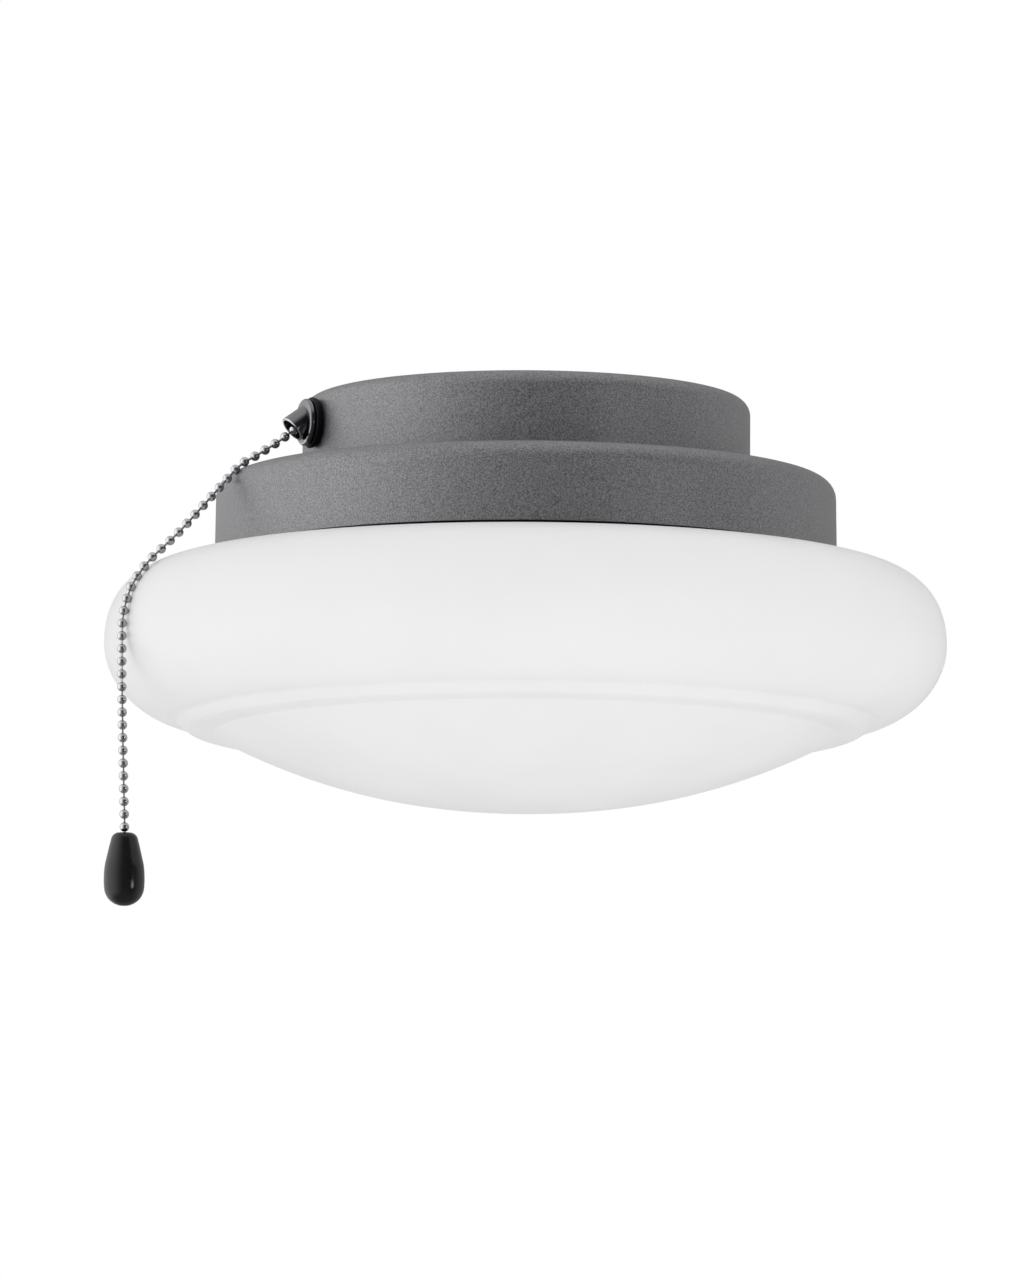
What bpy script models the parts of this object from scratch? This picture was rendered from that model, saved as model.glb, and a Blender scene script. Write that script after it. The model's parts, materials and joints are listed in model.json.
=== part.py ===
"""Low-profile light kit for a ceiling fan: two-tier steel housing, doughnut glass bowl and pull chain.

The origin is the centre of the flat top, which seats against the fan. +Z is up, and the camera side is -Y.
Lengths are metres.
"""

import math

import bmesh
import bpy
from mathutils import Matrix, Vector

# Clearances shared by all the pieces
SEAT_GAP = 0.0003
OVERRUN = 0.002
WELD = 0.00001
SHARP_ANGLE = math.radians(35)

# Upper tier, an inverted drawn cup
UPPER_RADIUS = 0.0745
UPPER_HEIGHT = 0.0270
UPPER_FILLET = 0.0070
SHEET = 0.0010

# Lower tier, an inverted drawn pan
LOWER_RADIUS = 0.1030
LOWER_HEIGHT = 0.0274
LOWER_FILLET = 0.0090
LOWER_FLARE = 0.0004

# Keyholes and supply socket in the flat top
KEYHOLE_COUNT = 3
KEYHOLE_CIRCLE_RADIUS = 0.0500
KEYHOLE_HEAD_RADIUS = 0.0050
KEYHOLE_SHANK_RADIUS = 0.0026
KEYHOLE_TRAVEL = 0.0090
KEYHOLE_FIRST_ANGLE = math.radians(30)
SOCKET_RADIUS = 0.0092
SOCKET_FLANGE_RADIUS = 0.0125
SOCKET_FLANGE = 0.0016
SOCKET_DEPTH = 0.0120
SOCKET_RECESS = 0.0002
PIN_HOLE_RADII = (0.0013, 0.0017)
PIN_HOLE_SPACING = 0.0070
PIN_HOLE_DEPTH = 0.0080

# Cross strap and hollow stem that clamp the two tiers together
STRAP_WIDTH = 0.0200
STRAP_SHEET = 0.0016
STRAP_LIFT = 0.0008
STRAP_TAB = 0.0090
STEM_RADIUS = 0.0050
STEM_BORE_RADIUS = 0.0036
STEM_ABOVE_STRAP = 0.0056
STEM_BELOW_NUT = 0.0020
NUT_THICKNESS = 0.0045
NUT_RADIUS = 0.0082
WASHER_RADIUS = 0.0095
WASHER_THICKNESS = 0.0010
CLEARANCE_HOLE = 0.0003

# White reflector pan under the lower tier's top, and the lamp board on it
REFLECTOR_INSET = 0.0045
REFLECTOR_SLOPE = 0.0060
REFLECTOR_RIM_RADIUS = LOWER_RADIUS - REFLECTOR_INSET
REFLECTOR_FLAT_RADIUS = REFLECTOR_RIM_RADIUS - REFLECTOR_SLOPE
REFLECTOR_DEPTH = 0.0115
BOARD_RADIUS = 0.0580
BOARD_HOLE_RADIUS = 0.0135
BOARD_THICKNESS = 0.0016
CHIP_SIDE = 0.0035
CHIP_HEIGHT = 0.0007
CHIP_RING_RADII = (0.0250, 0.0480)
CHIP_RING_COUNTS = (8, 16)
BOARD_SCREW_COUNT = 3
BOARD_SCREW_CIRCLE = 0.0370
BOARD_SCREW_ANGLE = math.radians(20)
SCREW_SHANK_RADIUS = 0.0013
SCREW_HEAD_RADIUS = 0.0027
SCREW_HEAD = 0.0018
SCREW_HOLE_RADIUS = 0.0016

# Driver box on the lower tier's top, inside the upper tier
DRIVER_WIDTH = 0.0560
DRIVER_LENGTH = 0.0300
DRIVER_HEIGHT = 0.0140
DRIVER_WALL = 0.0016
DRIVER_OFFSET = 0.0360
DRIVER_EAR = 0.0080
DRIVER_EAR_THICKNESS = 0.0020
DRIVER_BOARD_THICKNESS = 0.0016
DRIVER_CORNER = 0.0015
TRANSFORMER_SIZE = (0.0130, 0.0150, 0.0080)
CAPACITOR_RADIUS = 0.0036
CAPACITOR_LENGTH = 0.0140
TRANSFORMER_SHARE = -0.2
CAPACITOR_SHARE = 0.125

# Glass bowl: neck, shoulder, round bulb, bead ring and shallow dome
GLASS_RADIUS = 0.1399
GLASS_THICKNESS = 0.0030
GLASS_SEAM = 0.0005
NECK_INSET = 0.0035
NECK_RADIUS = LOWER_RADIUS - NECK_INSET
NECK_HEIGHT = 0.0110
NECK_FOOT_RISE = 0.0006
SHOULDER_DROP = 0.0016
BULB_CENTRE_RADIUS = 0.1120
BULB_UPPER_HEIGHT = 0.0262
BULB_LOWER_HEIGHT = 0.0257
BULB_UPPER_POWER = 2.3
BULB_LOWER_POWER = 1.9
BULB_TOP_SHARE = 0.03
BULB_FOOT_SHARE = 0.175
BEAD_WIDTH = 0.0154
BEAD_DROP = 0.0049
BEAD_PROFILE_SHARES = ((0.225, 0.33), (0.375, 0.595), (0.685, 0.86))
DOME_DEPTH = 0.0246
DOME_POWER = 2.22

# Steel collar on the neck, and the clips in the pan that it locks into
COLLAR_SHEET = 0.0010
COLLAR_LIP = 0.0090
COLLAR_NOTCH_WIDTH = 0.0190
COLLAR_NOTCH_DEPTH = 0.0052
CLIP_COUNT = 3
CLIP_WIDTH = 0.0140
CLIP_SHEET = 0.0010
CLIP_FOOT = 0.0110
CLIP_HOOK = 0.0062
CLIP_FIRST_ANGLE = math.radians(50)
TWIST_ANGLE = math.radians(30)
RIVET_RADIUS = 0.0016
RIVET_HEAD_RADIUS = 0.0030
RIVET_HEAD = 0.0012
GASKET_THICKNESS = 0.0012
GASKET_HEIGHT = 0.0020

# Pull switch and its nozzle, on an axis that leaves the upper tier's wall to the front left
SWITCH_ANGLE = math.radians(201)
SWITCH_DEPTH = 0.0117
GROMMET_RADIUS = 0.0088
GROMMET_THICKNESS = 0.0024
GROMMET_NECK_RADIUS = 0.0063
GROMMET_INNER_RADIUS = 0.0073
GROMMET_INNER = 0.0015
WALL_ALLOWANCE = 0.0009
BARREL_RADIUS = 0.0050
BARREL_BORE_RADIUS = 0.0026
KNEE_RADIUS = 0.0029
FLANGE_RADIUS = 0.0078
FLANGE_THICKNESS = 0.0018
SNOUT_TILT = math.radians(41.5)
SNOUT_RISE = 0.0009
SNOUT_BACK_RADIUS = 0.0037
SNOUT_MOUTH_RADIUS = 0.0046
SNOUT_LIP_RADIUS = 0.0004
SNOUT_BACK = 0.0083
SNOUT_LENGTH = 0.0137
SNOUT_WALL = 0.0006
SWITCH_LENGTH = 0.0223
SWITCH_WIDTH = 0.0240
SWITCH_ABOVE = 0.0067
SWITCH_BELOW = 0.0085
SWITCH_FRONT_WALL = 0.0030
SWITCH_WALL = 0.0020
SWITCH_COVER = 0.0014
SWITCH_CORNER = 0.0010
SLIDER_LENGTH = 0.0040
SLIDER_WIDTH = 0.0080
SLIDER_HEIGHT = 0.0050
SLIDER_STEM_RADIUS = 0.0012
PULL_TRAVEL = 0.0090
PAWL_LENGTH = 0.0030
PAWL_WIDTH = 0.0016
PAWL_DROP = 0.0026
SPRING_RADIUS = 0.0022
SPRING_WIRE_RADIUS = 0.00025
SPRING_TURNS = 6
SPRING_POINTS_PER_TURN = 10
ROTOR_RADIUS = 0.0053
ROTOR_THICKNESS = 0.0018
ROTOR_HUB_RADIUS = 0.0035
ROTOR_PIN_RADIUS = 0.0010
ROTOR_LUGS = 4
ROTOR_LUG_WIDTH = 0.0030
BRIDGE_LENGTH = 0.0060
BRIDGE_WIDTH = 0.0016
BRIDGE_THICKNESS = 0.0004
TERMINAL_WIDTH = 0.0020
TERMINAL_THICKNESS = 0.0006
TERMINAL_TAIL = 0.0050
TERMINAL_SPACING = 0.0100

# Ball chain and its knob
BALL_RADIUS = 0.0016
BALL_PITCH = 0.0042
LAST_LINK = 0.0017
LINK_SHARE = 0.24
BALL_SECTION_SHARES = ((-0.97, LINK_SHARE), (-0.62, 0.78), (0.0, 1.0), (0.62, 0.78), (0.97, LINK_SHARE))
CHAIN_ROUTE = (
    (0.0685, -0.0117), (0.0730, -0.0117), (0.0766, -0.0118), (0.0793, -0.0122), (0.0822, -0.0143),
    (0.0865, -0.0178), (0.0914, -0.0211), (0.0964, -0.0243), (0.1006, -0.0267), (0.1033, -0.0294),
    (0.1066, -0.0332), (0.1119, -0.0391), (0.1172, -0.0450), (0.1225, -0.0508), (0.1279, -0.0560),
    (0.1318, -0.0597), (0.1352, -0.0638), (0.1385, -0.0689), (0.1407, -0.0750), (0.1417, -0.0810),
    (0.1418, -0.0880), (0.1417, -0.1000), (0.1414, -0.1140), (0.1409, -0.1310), (0.1403, -0.1506),
)
KNOB_HEIGHT = 0.0240
KNOB_RADIUS = 0.0067
KNOB_PROFILE_SHARES = (
    (0.42, 0.00), (0.605, 0.044), (0.71, 0.14), (0.845, 0.30), (0.965, 0.46),
    (1.00, 0.62), (0.985, 0.74), (0.93, 0.82), (0.775, 0.90), (0.52, 0.96),
)

# Wires inside
WIRE_RADIUS = 0.0008
WIRE_SPACING = 0.0020
WIRE_END_GAP = 0.0008
LAMP_WIRE_SPACING = 0.0024
LAMP_PAD_SPACING = 0.0072
SUPPLY_PORT_SHARE = 0.25
SWITCHED_PORT_SHARE = -0.36
LAMP_PORT_SHARE = 0.04

# Facets round the turned pieces
BIG_STEPS = 44
SMALL_STEPS = 20
CHAIN_SIDES_RESOLUTION = 1

# Levels worked out from the sizes above, all downward from the flat top
UPPER_RIM_Z = -UPPER_HEIGHT + SEAT_GAP
PAN_TOP_Z = -UPPER_HEIGHT
PAN_RIM_Z = PAN_TOP_Z - LOWER_HEIGHT
REFLECTOR_TOP_Z = PAN_TOP_Z - SHEET - SEAT_GAP
REFLECTOR_UNDER_Z = REFLECTOR_TOP_Z - SHEET
BOARD_TOP_Z = REFLECTOR_UNDER_Z - SEAT_GAP
BOARD_UNDER_Z = BOARD_TOP_Z - BOARD_THICKNESS
STRAP_UNDER_Z = PAN_TOP_Z + STRAP_LIFT
STRAP_TOP_Z = STRAP_UNDER_Z + STRAP_SHEET
SHOULDER_Z = PAN_RIM_Z - GLASS_SEAM
NECK_TOP_Z = SHOULDER_Z + NECK_HEIGHT
BULB_TOP_Z = SHOULDER_Z - SHOULDER_DROP
BULB_CENTRE_Z = BULB_TOP_Z - BULB_UPPER_HEIGHT
COLLAR_UNDER_Z = NECK_TOP_Z + SEAT_GAP
COLLAR_TOP_Z = COLLAR_UNDER_Z + COLLAR_SHEET
COLLAR_INNER_RADIUS = NECK_RADIUS - COLLAR_LIP
CLIP_TOP_Z = REFLECTOR_UNDER_Z - SEAT_GAP
CLIP_HOOK_TOP_Z = COLLAR_UNDER_Z - SEAT_GAP
SWITCH_FRONT_X = -SHEET - WALL_ALLOWANCE - GROMMET_INNER - SEAT_GAP
SWITCH_BACK_X = SWITCH_FRONT_X - SWITCH_LENGTH
CAVITY_FRONT_X = SWITCH_FRONT_X - SWITCH_FRONT_WALL
CAVITY_BACK_X = SWITCH_BACK_X + SWITCH_WALL
SLIDER_BACK_X = CAVITY_BACK_X + SEAT_GAP
SLIDER_FRONT_X = SLIDER_BACK_X + SLIDER_LENGTH
FLANGE_BACK_X = SEAT_GAP + GROMMET_THICKNESS + SEAT_GAP
FLANGE_FRONT_X = FLANGE_BACK_X + FLANGE_THICKNESS
ROTOR_X = SLIDER_FRONT_X + PULL_TRAVEL - PAWL_LENGTH - SEAT_GAP
ROTOR_Z = -SLIDER_HEIGHT / 2 - SEAT_GAP
KNOB_TOP_Z = CHAIN_ROUTE[-1][1] - SEAT_GAP


def clear_scene():
    """Takes every object out of the scene."""
    for item in list(bpy.data.objects):
        bpy.data.objects.remove(item, do_unlink=True)


def make_collection(name):
    """A new collection in the scene."""
    collection = bpy.data.collections.new(name)
    bpy.context.scene.collection.children.link(collection)
    return collection


def make_material(name, colour, roughness, metallic=0.0):
    """A Principled material."""
    material = bpy.data.materials.new(name)
    material.use_nodes = True
    shader = material.node_tree.nodes["Principled BSDF"]
    shader.inputs["Base Color"].default_value = (*colour, 1.0)
    shader.inputs["Roughness"].default_value = roughness
    shader.inputs["Metallic"].default_value = metallic
    return material


clear_scene()
PARTS = make_collection("ceiling_fan_light_kit")
CUTTERS = make_collection("cutters")

GRAPHITE = make_material("graphite_powder_coat", (0.117, 0.117, 0.120), 0.55, 0.4)
OPAL_GLASS = make_material("opal_glass", (0.86, 0.86, 0.86), 0.35)
NICKEL = make_material("dark_nickel", (0.42, 0.42, 0.43), 0.18, 1.0)
BLACK_RUBBER = make_material("black_rubber", (0.012, 0.012, 0.012), 0.6)
BLACK_GLOSS = make_material("black_gloss_plastic", (0.010, 0.010, 0.011), 0.15)
ZINC_STEEL = make_material("zinc_steel", (0.55, 0.56, 0.57), 0.35, 1.0)
WHITE_ENAMEL = make_material("white_enamel", (0.83, 0.83, 0.81), 0.35)
BOARD_WHITE = make_material("board_white", (0.78, 0.79, 0.78), 0.45)
NATURAL_PLASTIC = make_material("natural_plastic", (0.66, 0.65, 0.60), 0.45)
BROWN_PHENOLIC = make_material("brown_phenolic", (0.045, 0.028, 0.020), 0.4)
BRASS = make_material("brass", (0.72, 0.53, 0.22), 0.3, 1.0)
SPRING_STEEL = make_material("spring_steel", (0.48, 0.48, 0.50), 0.25, 1.0)
BLACK_WIRE = make_material("black_wire", (0.015, 0.015, 0.015), 0.5)
WHITE_WIRE = make_material("white_wire", (0.80, 0.80, 0.78), 0.5)
RED_WIRE = make_material("red_wire", (0.45, 0.02, 0.02), 0.5)


def link(name, data, material=None, parent=None):
    """Puts data in the scene as a part, under a parent if there is one."""
    item = bpy.data.objects.new(name, data)
    PARTS.objects.link(item)
    item.parent = parent
    if material is not None:
        data.materials.append(material)
    return item


def make_cutter(item):
    """Moves an object to the cutters and shows it as wire only."""
    for collection in list(item.users_collection):
        collection.objects.unlink(item)
    CUTTERS.objects.link(item)
    item.hide_render = True
    item.display_type = "WIRE"
    return item


def combine(item, other, operation):
    """Adds a Boolean modifier that cuts the other object out or joins it on."""
    make_cutter(other)
    modifier = item.modifiers.new(operation.lower(), "BOOLEAN")
    modifier.operation = operation
    modifier.solver = "EXACT"
    modifier.object = other
    return item


def cut(item, *others):
    """Cuts the other objects out of an object."""
    for other in others:
        combine(item, other, "DIFFERENCE")
    return item


def join(item, *others):
    """Joins the other objects onto an object."""
    for other in others:
        combine(item, other, "UNION")
    return item


def shade(mesh):
    """Smooth shading with sharp corners kept."""
    mesh.shade_smooth()
    mesh.set_sharp_from_angle(angle=SHARP_ANGLE)


def profile_mesh(name, points, closed):
    """A mesh of edges through (radius, height) points in the XZ plane."""
    mesh = bpy.data.meshes.new(name)
    profile = bmesh.new()
    corners = [profile.verts.new((radius, 0.0, height)) for radius, height in points]
    for first, second in zip(corners, corners[1:]):
        profile.edges.new((first, second))
    if closed:
        profile.edges.new((corners[-1], corners[0]))
    profile.to_mesh(mesh)
    profile.free()
    return mesh


def turned(name, points, material=None, parent=None, steps=SMALL_STEPS, closed=False, wall=0.0):
    """A turned piece: a profile spun about its own Z axis, hollowed inward where a wall is given."""
    item = link(name, profile_mesh(name, points, closed), material, parent)
    screw = item.modifiers.new("spin", "SCREW")
    screw.steps = steps
    screw.render_steps = steps
    screw.use_smooth_shade = True
    screw.use_merge_vertices = True
    screw.merge_threshold = WELD
    screw.use_normal_calculate = False
    if wall:
        shell = item.modifiers.new("wall", "SOLIDIFY")
        shell.thickness = wall
        shell.offset = -1.0
        shell.use_even_offset = True
    return item


def ring_points(inner, outer, top, bottom):
    """The closed profile of a plain ring, down its outer side."""
    return [(inner, top), (outer, top), (outer, bottom), (inner, bottom)]


def arc(centre, radius, start, end, steps):
    """Points on an arc in the profile's plane; angles in degrees, 0 outward and 90 up."""
    points = []
    for step in range(steps + 1):
        angle = math.radians(start + (end - start) * step / steps)
        points.append((centre[0] + radius * math.cos(angle), centre[1] + radius * math.sin(angle)))
    return points


def box(name, size, centre, material=None, parent=None, corner=0.0):
    """A box of a size about a centre, with rounded edges where a corner radius is given."""
    mesh = bpy.data.meshes.new(name)
    solid = bmesh.new()
    bmesh.ops.create_cube(solid, size=1.0, matrix=Matrix.Translation(centre) @ Matrix.Diagonal((*size, 1.0)))
    solid.to_mesh(mesh)
    solid.free()
    item = link(name, mesh, material, parent)
    if corner:
        bevel = item.modifiers.new("edges", "BEVEL")
        bevel.width = corner
        bevel.segments = 1
    return item


def cylinder(name, radius, low, high, material=None, parent=None, steps=SMALL_STEPS, end_radius=None):
    """A cylinder or cone between two points."""
    low, high = Vector(low), Vector(high)
    turn = (high - low).to_track_quat("Z", "X").to_matrix().to_4x4()
    place = Matrix.Translation((low + high) / 2) @ turn
    mesh = bpy.data.meshes.new(name)
    solid = bmesh.new()
    bmesh.ops.create_cone(
        solid, cap_ends=True, segments=steps, radius1=radius,
        radius2=radius if end_radius is None else end_radius, depth=(high - low).length, matrix=place,
    )
    solid.to_mesh(mesh)
    solid.free()
    shade(mesh)
    return link(name, mesh, material, parent)


def ball(name, radius, centre, parent=None):
    """A sphere about a centre."""
    mesh = bpy.data.meshes.new(name)
    solid = bmesh.new()
    bmesh.ops.create_uvsphere(
        solid, u_segments=14, v_segments=9, radius=radius, matrix=Matrix.Translation(centre),
    )
    solid.to_mesh(mesh)
    solid.free()
    return link(name, mesh, parent=parent)


def curve_mesh(name, curve, material, parent):
    """A curve's surface as a welded mesh object."""
    guide = bpy.data.objects.new(name + "_guide", curve)
    CUTTERS.objects.link(guide)
    bpy.context.view_layer.update()
    mesh = bpy.data.meshes.new_from_object(guide.evaluated_get(bpy.context.evaluated_depsgraph_get()))
    bpy.data.objects.remove(guide)
    solid = bmesh.new()
    solid.from_mesh(mesh)
    bmesh.ops.remove_doubles(solid, verts=solid.verts, dist=WELD)
    solid.to_mesh(mesh)
    solid.free()
    mesh.materials.clear()
    return link(name, mesh, material, parent)


def tube(name, points, radius, material, parent=None, resolution=1, swells=None):
    """A round tube through points, whose radius is swelled by a share at each point where those are given."""
    curve = bpy.data.curves.new(name, "CURVE")
    curve.dimensions = "3D"
    curve.bevel_depth = radius
    curve.bevel_resolution = resolution
    curve.use_fill_caps = True
    spline = curve.splines.new("POLY")
    spline.points.add(len(points) - 1)
    for index, point in enumerate(points):
        spline.points[index].co = (*point, 1.0)
        spline.points[index].radius = swells[index] if swells else 1.0
    item = curve_mesh(name, curve, material, parent)
    shade(item.data)
    return item


def flat_plate(name, outline, thickness, material=None, parent=None):
    """A flat outline in the XY plane, as thick as given, centred on the plane."""
    curve = bpy.data.curves.new(name, "CURVE")
    curve.dimensions = "2D"
    curve.fill_mode = "BOTH"
    curve.extrude = thickness / 2
    spline = curve.splines.new("POLY")
    spline.points.add(len(outline) - 1)
    for index, (x, y) in enumerate(outline):
        spline.points[index].co = (x, y, 0.0, 1.0)
    spline.use_cyclic_u = True
    return curve_mesh(name, curve, material, parent)


def smooth_route(points, spacing):
    """Points at an even spacing along a smooth curve through the given points."""
    anchors = [Vector(point) for point in points]
    anchors = [2 * anchors[0] - anchors[1], *anchors, 2 * anchors[-1] - anchors[-2]]
    dense = []
    samples = 24
    for index in range(1, len(anchors) - 2):
        before, start, end, after = anchors[index - 1:index + 3]
        for sample in range(samples):
            t = sample / samples
            dense.append(
                0.5 * (
                    2 * start + (end - before) * t + (2 * before - 5 * start + 4 * end - after) * t * t
                    + (3 * start - before - 3 * end + after) * t * t * t
                )
            )
    dense.append(anchors[-2])
    lengths = [0.0]
    for first, second in zip(dense, dense[1:]):
        lengths.append(lengths[-1] + (second - first).length)
    count = max(2, round(lengths[-1] / spacing))

    def at(distance):
        """The point at a distance along the curve."""
        distance = min(max(distance, 0.0), lengths[-1])
        index = next(i for i in range(1, len(lengths)) if lengths[i] >= distance)
        share = (distance - lengths[index - 1]) / (lengths[index] - lengths[index - 1])
        return dense[index - 1].lerp(dense[index], share)

    return [at(lengths[-1] * step / count) for step in range(count + 1)], at, lengths[-1]


def in_plane(radius, height):
    """A point of the chain's plane, which holds the vertical axis and the switch's axis."""
    return Vector((radius * math.cos(SWITCH_ANGLE), radius * math.sin(SWITCH_ANGLE), height))


def empty(name, location, angle):
    """An empty turned about Z, which carries the pieces built round it."""
    item = bpy.data.objects.new(name, None)
    PARTS.objects.link(item)
    item.location = location
    item.rotation_euler = (0.0, 0.0, angle)
    return item


def around(name, count, radius, first_angle=0.0):
    """Places at even angles on a circle, as (name, angle, point)."""
    places = []
    for index in range(count):
        angle = first_angle + 2 * math.pi * index / count
        point = (radius * math.cos(angle), radius * math.sin(angle), 0.0)
        places.append((f"{name}_{index + 1}", angle, point))
    return places


def build_upper_housing(switch_axis):
    """The upper tier: flat top with keyholes and socket hole, rounded edge, and a wall with a hole."""
    corner = (UPPER_RADIUS - UPPER_FILLET, -UPPER_FILLET)
    points = [
        (SOCKET_RADIUS + SEAT_GAP, 0.0), *arc(corner, UPPER_FILLET, 90, 0, 4), (UPPER_RADIUS, UPPER_RIM_Z),
    ]
    housing = turned("upper_housing", points, GRAPHITE, steps=BIG_STEPS, wall=SHEET)
    keyholes = around("keyhole", KEYHOLE_COUNT, KEYHOLE_CIRCLE_RADIUS, KEYHOLE_FIRST_ANGLE)
    for name, angle, place in keyholes:
        keyhole = flat_plate(name, keyhole_outline(), 2 * (SHEET + OVERRUN))
        keyhole.location = place
        keyhole.rotation_euler = (0.0, 0.0, angle + math.pi / 2)
        cut(housing, keyhole)
    hole = cylinder(
        "nozzle_hole", GROMMET_NECK_RADIUS,
        (-SHEET - GROMMET_THICKNESS, 0.0, 0.0), (GROMMET_THICKNESS, 0.0, 0.0), parent=switch_axis,
    )
    return cut(housing, hole)


def keyhole_outline():
    """A keyhole in plan: a round head with a narrower slot that runs along +X."""
    half_angle = math.degrees(math.asin(KEYHOLE_SHANK_RADIUS / KEYHOLE_HEAD_RADIUS))
    head = arc((0.0, 0.0), KEYHOLE_HEAD_RADIUS, half_angle, 360 - half_angle, 12)
    slot_end = arc((KEYHOLE_TRAVEL, 0.0), KEYHOLE_SHANK_RADIUS, -90, 90, 4)
    return head + slot_end


def build_supply_socket():
    """The snap-in socket for the fan's supply plug, flush with the flat top, with two unlike pin holes."""
    top = -SOCKET_RECESS
    flange_top = -SHEET - SEAT_GAP
    points = [
        (0.0, top), (SOCKET_RADIUS, top), (SOCKET_RADIUS, flange_top), (SOCKET_FLANGE_RADIUS, flange_top),
        (SOCKET_FLANGE_RADIUS, flange_top - SOCKET_FLANGE), (SOCKET_RADIUS, flange_top - SOCKET_FLANGE),
        (SOCKET_RADIUS, -SOCKET_DEPTH), (0.0, -SOCKET_DEPTH),
    ]
    socket = turned("supply_socket", points, NATURAL_PLASTIC)
    for side, radius in zip((-1, 1), PIN_HOLE_RADII):
        x = side * PIN_HOLE_SPACING / 2
        pin_hole = cylinder(
            f"pin_hole_{side + 2}", radius, (x, 0.0, -PIN_HOLE_DEPTH), (x, 0.0, OVERRUN), steps=12,
        )
        cut(socket, pin_hole)
    return socket


def build_strap():
    """The steel strap across the upper tier, with end tabs welded to its wall and a hole for the stem."""
    half = math.sqrt((UPPER_RADIUS - SHEET - SEAT_GAP) ** 2 - (STRAP_WIDTH / 2) ** 2)
    tab_top = STRAP_UNDER_Z + STRAP_TAB
    outline = [
        (-half, STRAP_UNDER_Z), (half, STRAP_UNDER_Z), (half, tab_top), (half - STRAP_SHEET, tab_top),
        (half - STRAP_SHEET, STRAP_TOP_Z), (-half + STRAP_SHEET, STRAP_TOP_Z), (-half + STRAP_SHEET, tab_top),
        (-half, tab_top),
    ]
    strap = flat_plate("cross_strap", outline, STRAP_WIDTH, ZINC_STEEL)
    strap.rotation_euler = (math.pi / 2, 0.0, SWITCH_ANGLE + math.pi / 2)
    hole = cylinder(
        "strap_hole", STEM_RADIUS + CLEARANCE_HOLE,
        (0.0, 0.0, STRAP_UNDER_Z - OVERRUN), (0.0, 0.0, STRAP_TOP_Z + OVERRUN),
    )
    return cut(strap, hole)


def hex_nut(name, bottom):
    """A hexagonal nut round the stem."""
    nut = cylinder(
        name, NUT_RADIUS, (0.0, 0.0, bottom), (0.0, 0.0, bottom + NUT_THICKNESS), ZINC_STEEL, steps=6,
    )
    bore = cylinder(
        name + "_bore", STEM_RADIUS + CLEARANCE_HOLE,
        (0.0, 0.0, bottom - OVERRUN), (0.0, 0.0, bottom + NUT_THICKNESS + OVERRUN),
    )
    return cut(nut, bore)


def build_stem():
    """The hollow stem with its nuts and washer, which draw the pan up against the upper tier."""
    hex_nut("stem_nut_upper", STRAP_TOP_Z + SEAT_GAP)
    washer_top = REFLECTOR_UNDER_Z - SEAT_GAP
    washer_under = washer_top - WASHER_THICKNESS
    washer = ring_points(STEM_RADIUS + CLEARANCE_HOLE, WASHER_RADIUS, washer_top, washer_under)
    turned("lock_washer", washer, ZINC_STEEL, closed=True)
    nut_bottom = washer_under - SEAT_GAP - NUT_THICKNESS
    hex_nut("stem_nut_lower", nut_bottom)
    stem_top = STRAP_TOP_Z + STEM_ABOVE_STRAP
    stem = ring_points(STEM_BORE_RADIUS, STEM_RADIUS, stem_top, nut_bottom - STEM_BELOW_NUT)
    return turned("hollow_stem", stem, ZINC_STEEL, closed=True)


def screw(name, x, y, head_side, seat, tip, parent=None):
    """A pan-head screw; head_side is 1 for a head above its seat and -1 for one below."""
    head_face = seat + head_side * SEAT_GAP
    head_end = head_face + head_side * SCREW_HEAD
    shank = cylinder(
        name, SCREW_SHANK_RADIUS, (x, y, min(tip, head_end)), (x, y, max(tip, head_end)),
        ZINC_STEEL, parent, steps=10,
    )
    head = cylinder(
        name + "_head", SCREW_HEAD_RADIUS,
        (x, y, min(head_face, head_end)), (x, y, max(head_face, head_end)), parent=parent, steps=14,
    )
    return join(shank, head)


def build_lower_housing(driver_axis):
    """The lower tier: flat top with the stem hole, rounded shoulder and a wall that flares a little."""
    corner = (LOWER_RADIUS - LOWER_FILLET, PAN_TOP_Z - LOWER_FILLET)
    points = [
        (STEM_RADIUS + CLEARANCE_HOLE, PAN_TOP_Z), *arc(corner, LOWER_FILLET, 90, 0, 5),
        (LOWER_RADIUS + LOWER_FLARE, PAN_RIM_Z),
    ]
    housing = turned("lower_housing", points, GRAPHITE, steps=BIG_STEPS, wall=SHEET)
    for side in (-1, 1):
        y = side * (DRIVER_WIDTH + DRIVER_EAR) / 2
        hole = cylinder(
            f"driver_screw_hole_{side + 2}", SCREW_HOLE_RADIUS, (0.0, y, PAN_TOP_Z - SHEET - OVERRUN),
            (0.0, y, PAN_TOP_Z + OVERRUN), parent=driver_axis, steps=12,
        )
        cut(housing, hole)
    return housing


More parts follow.
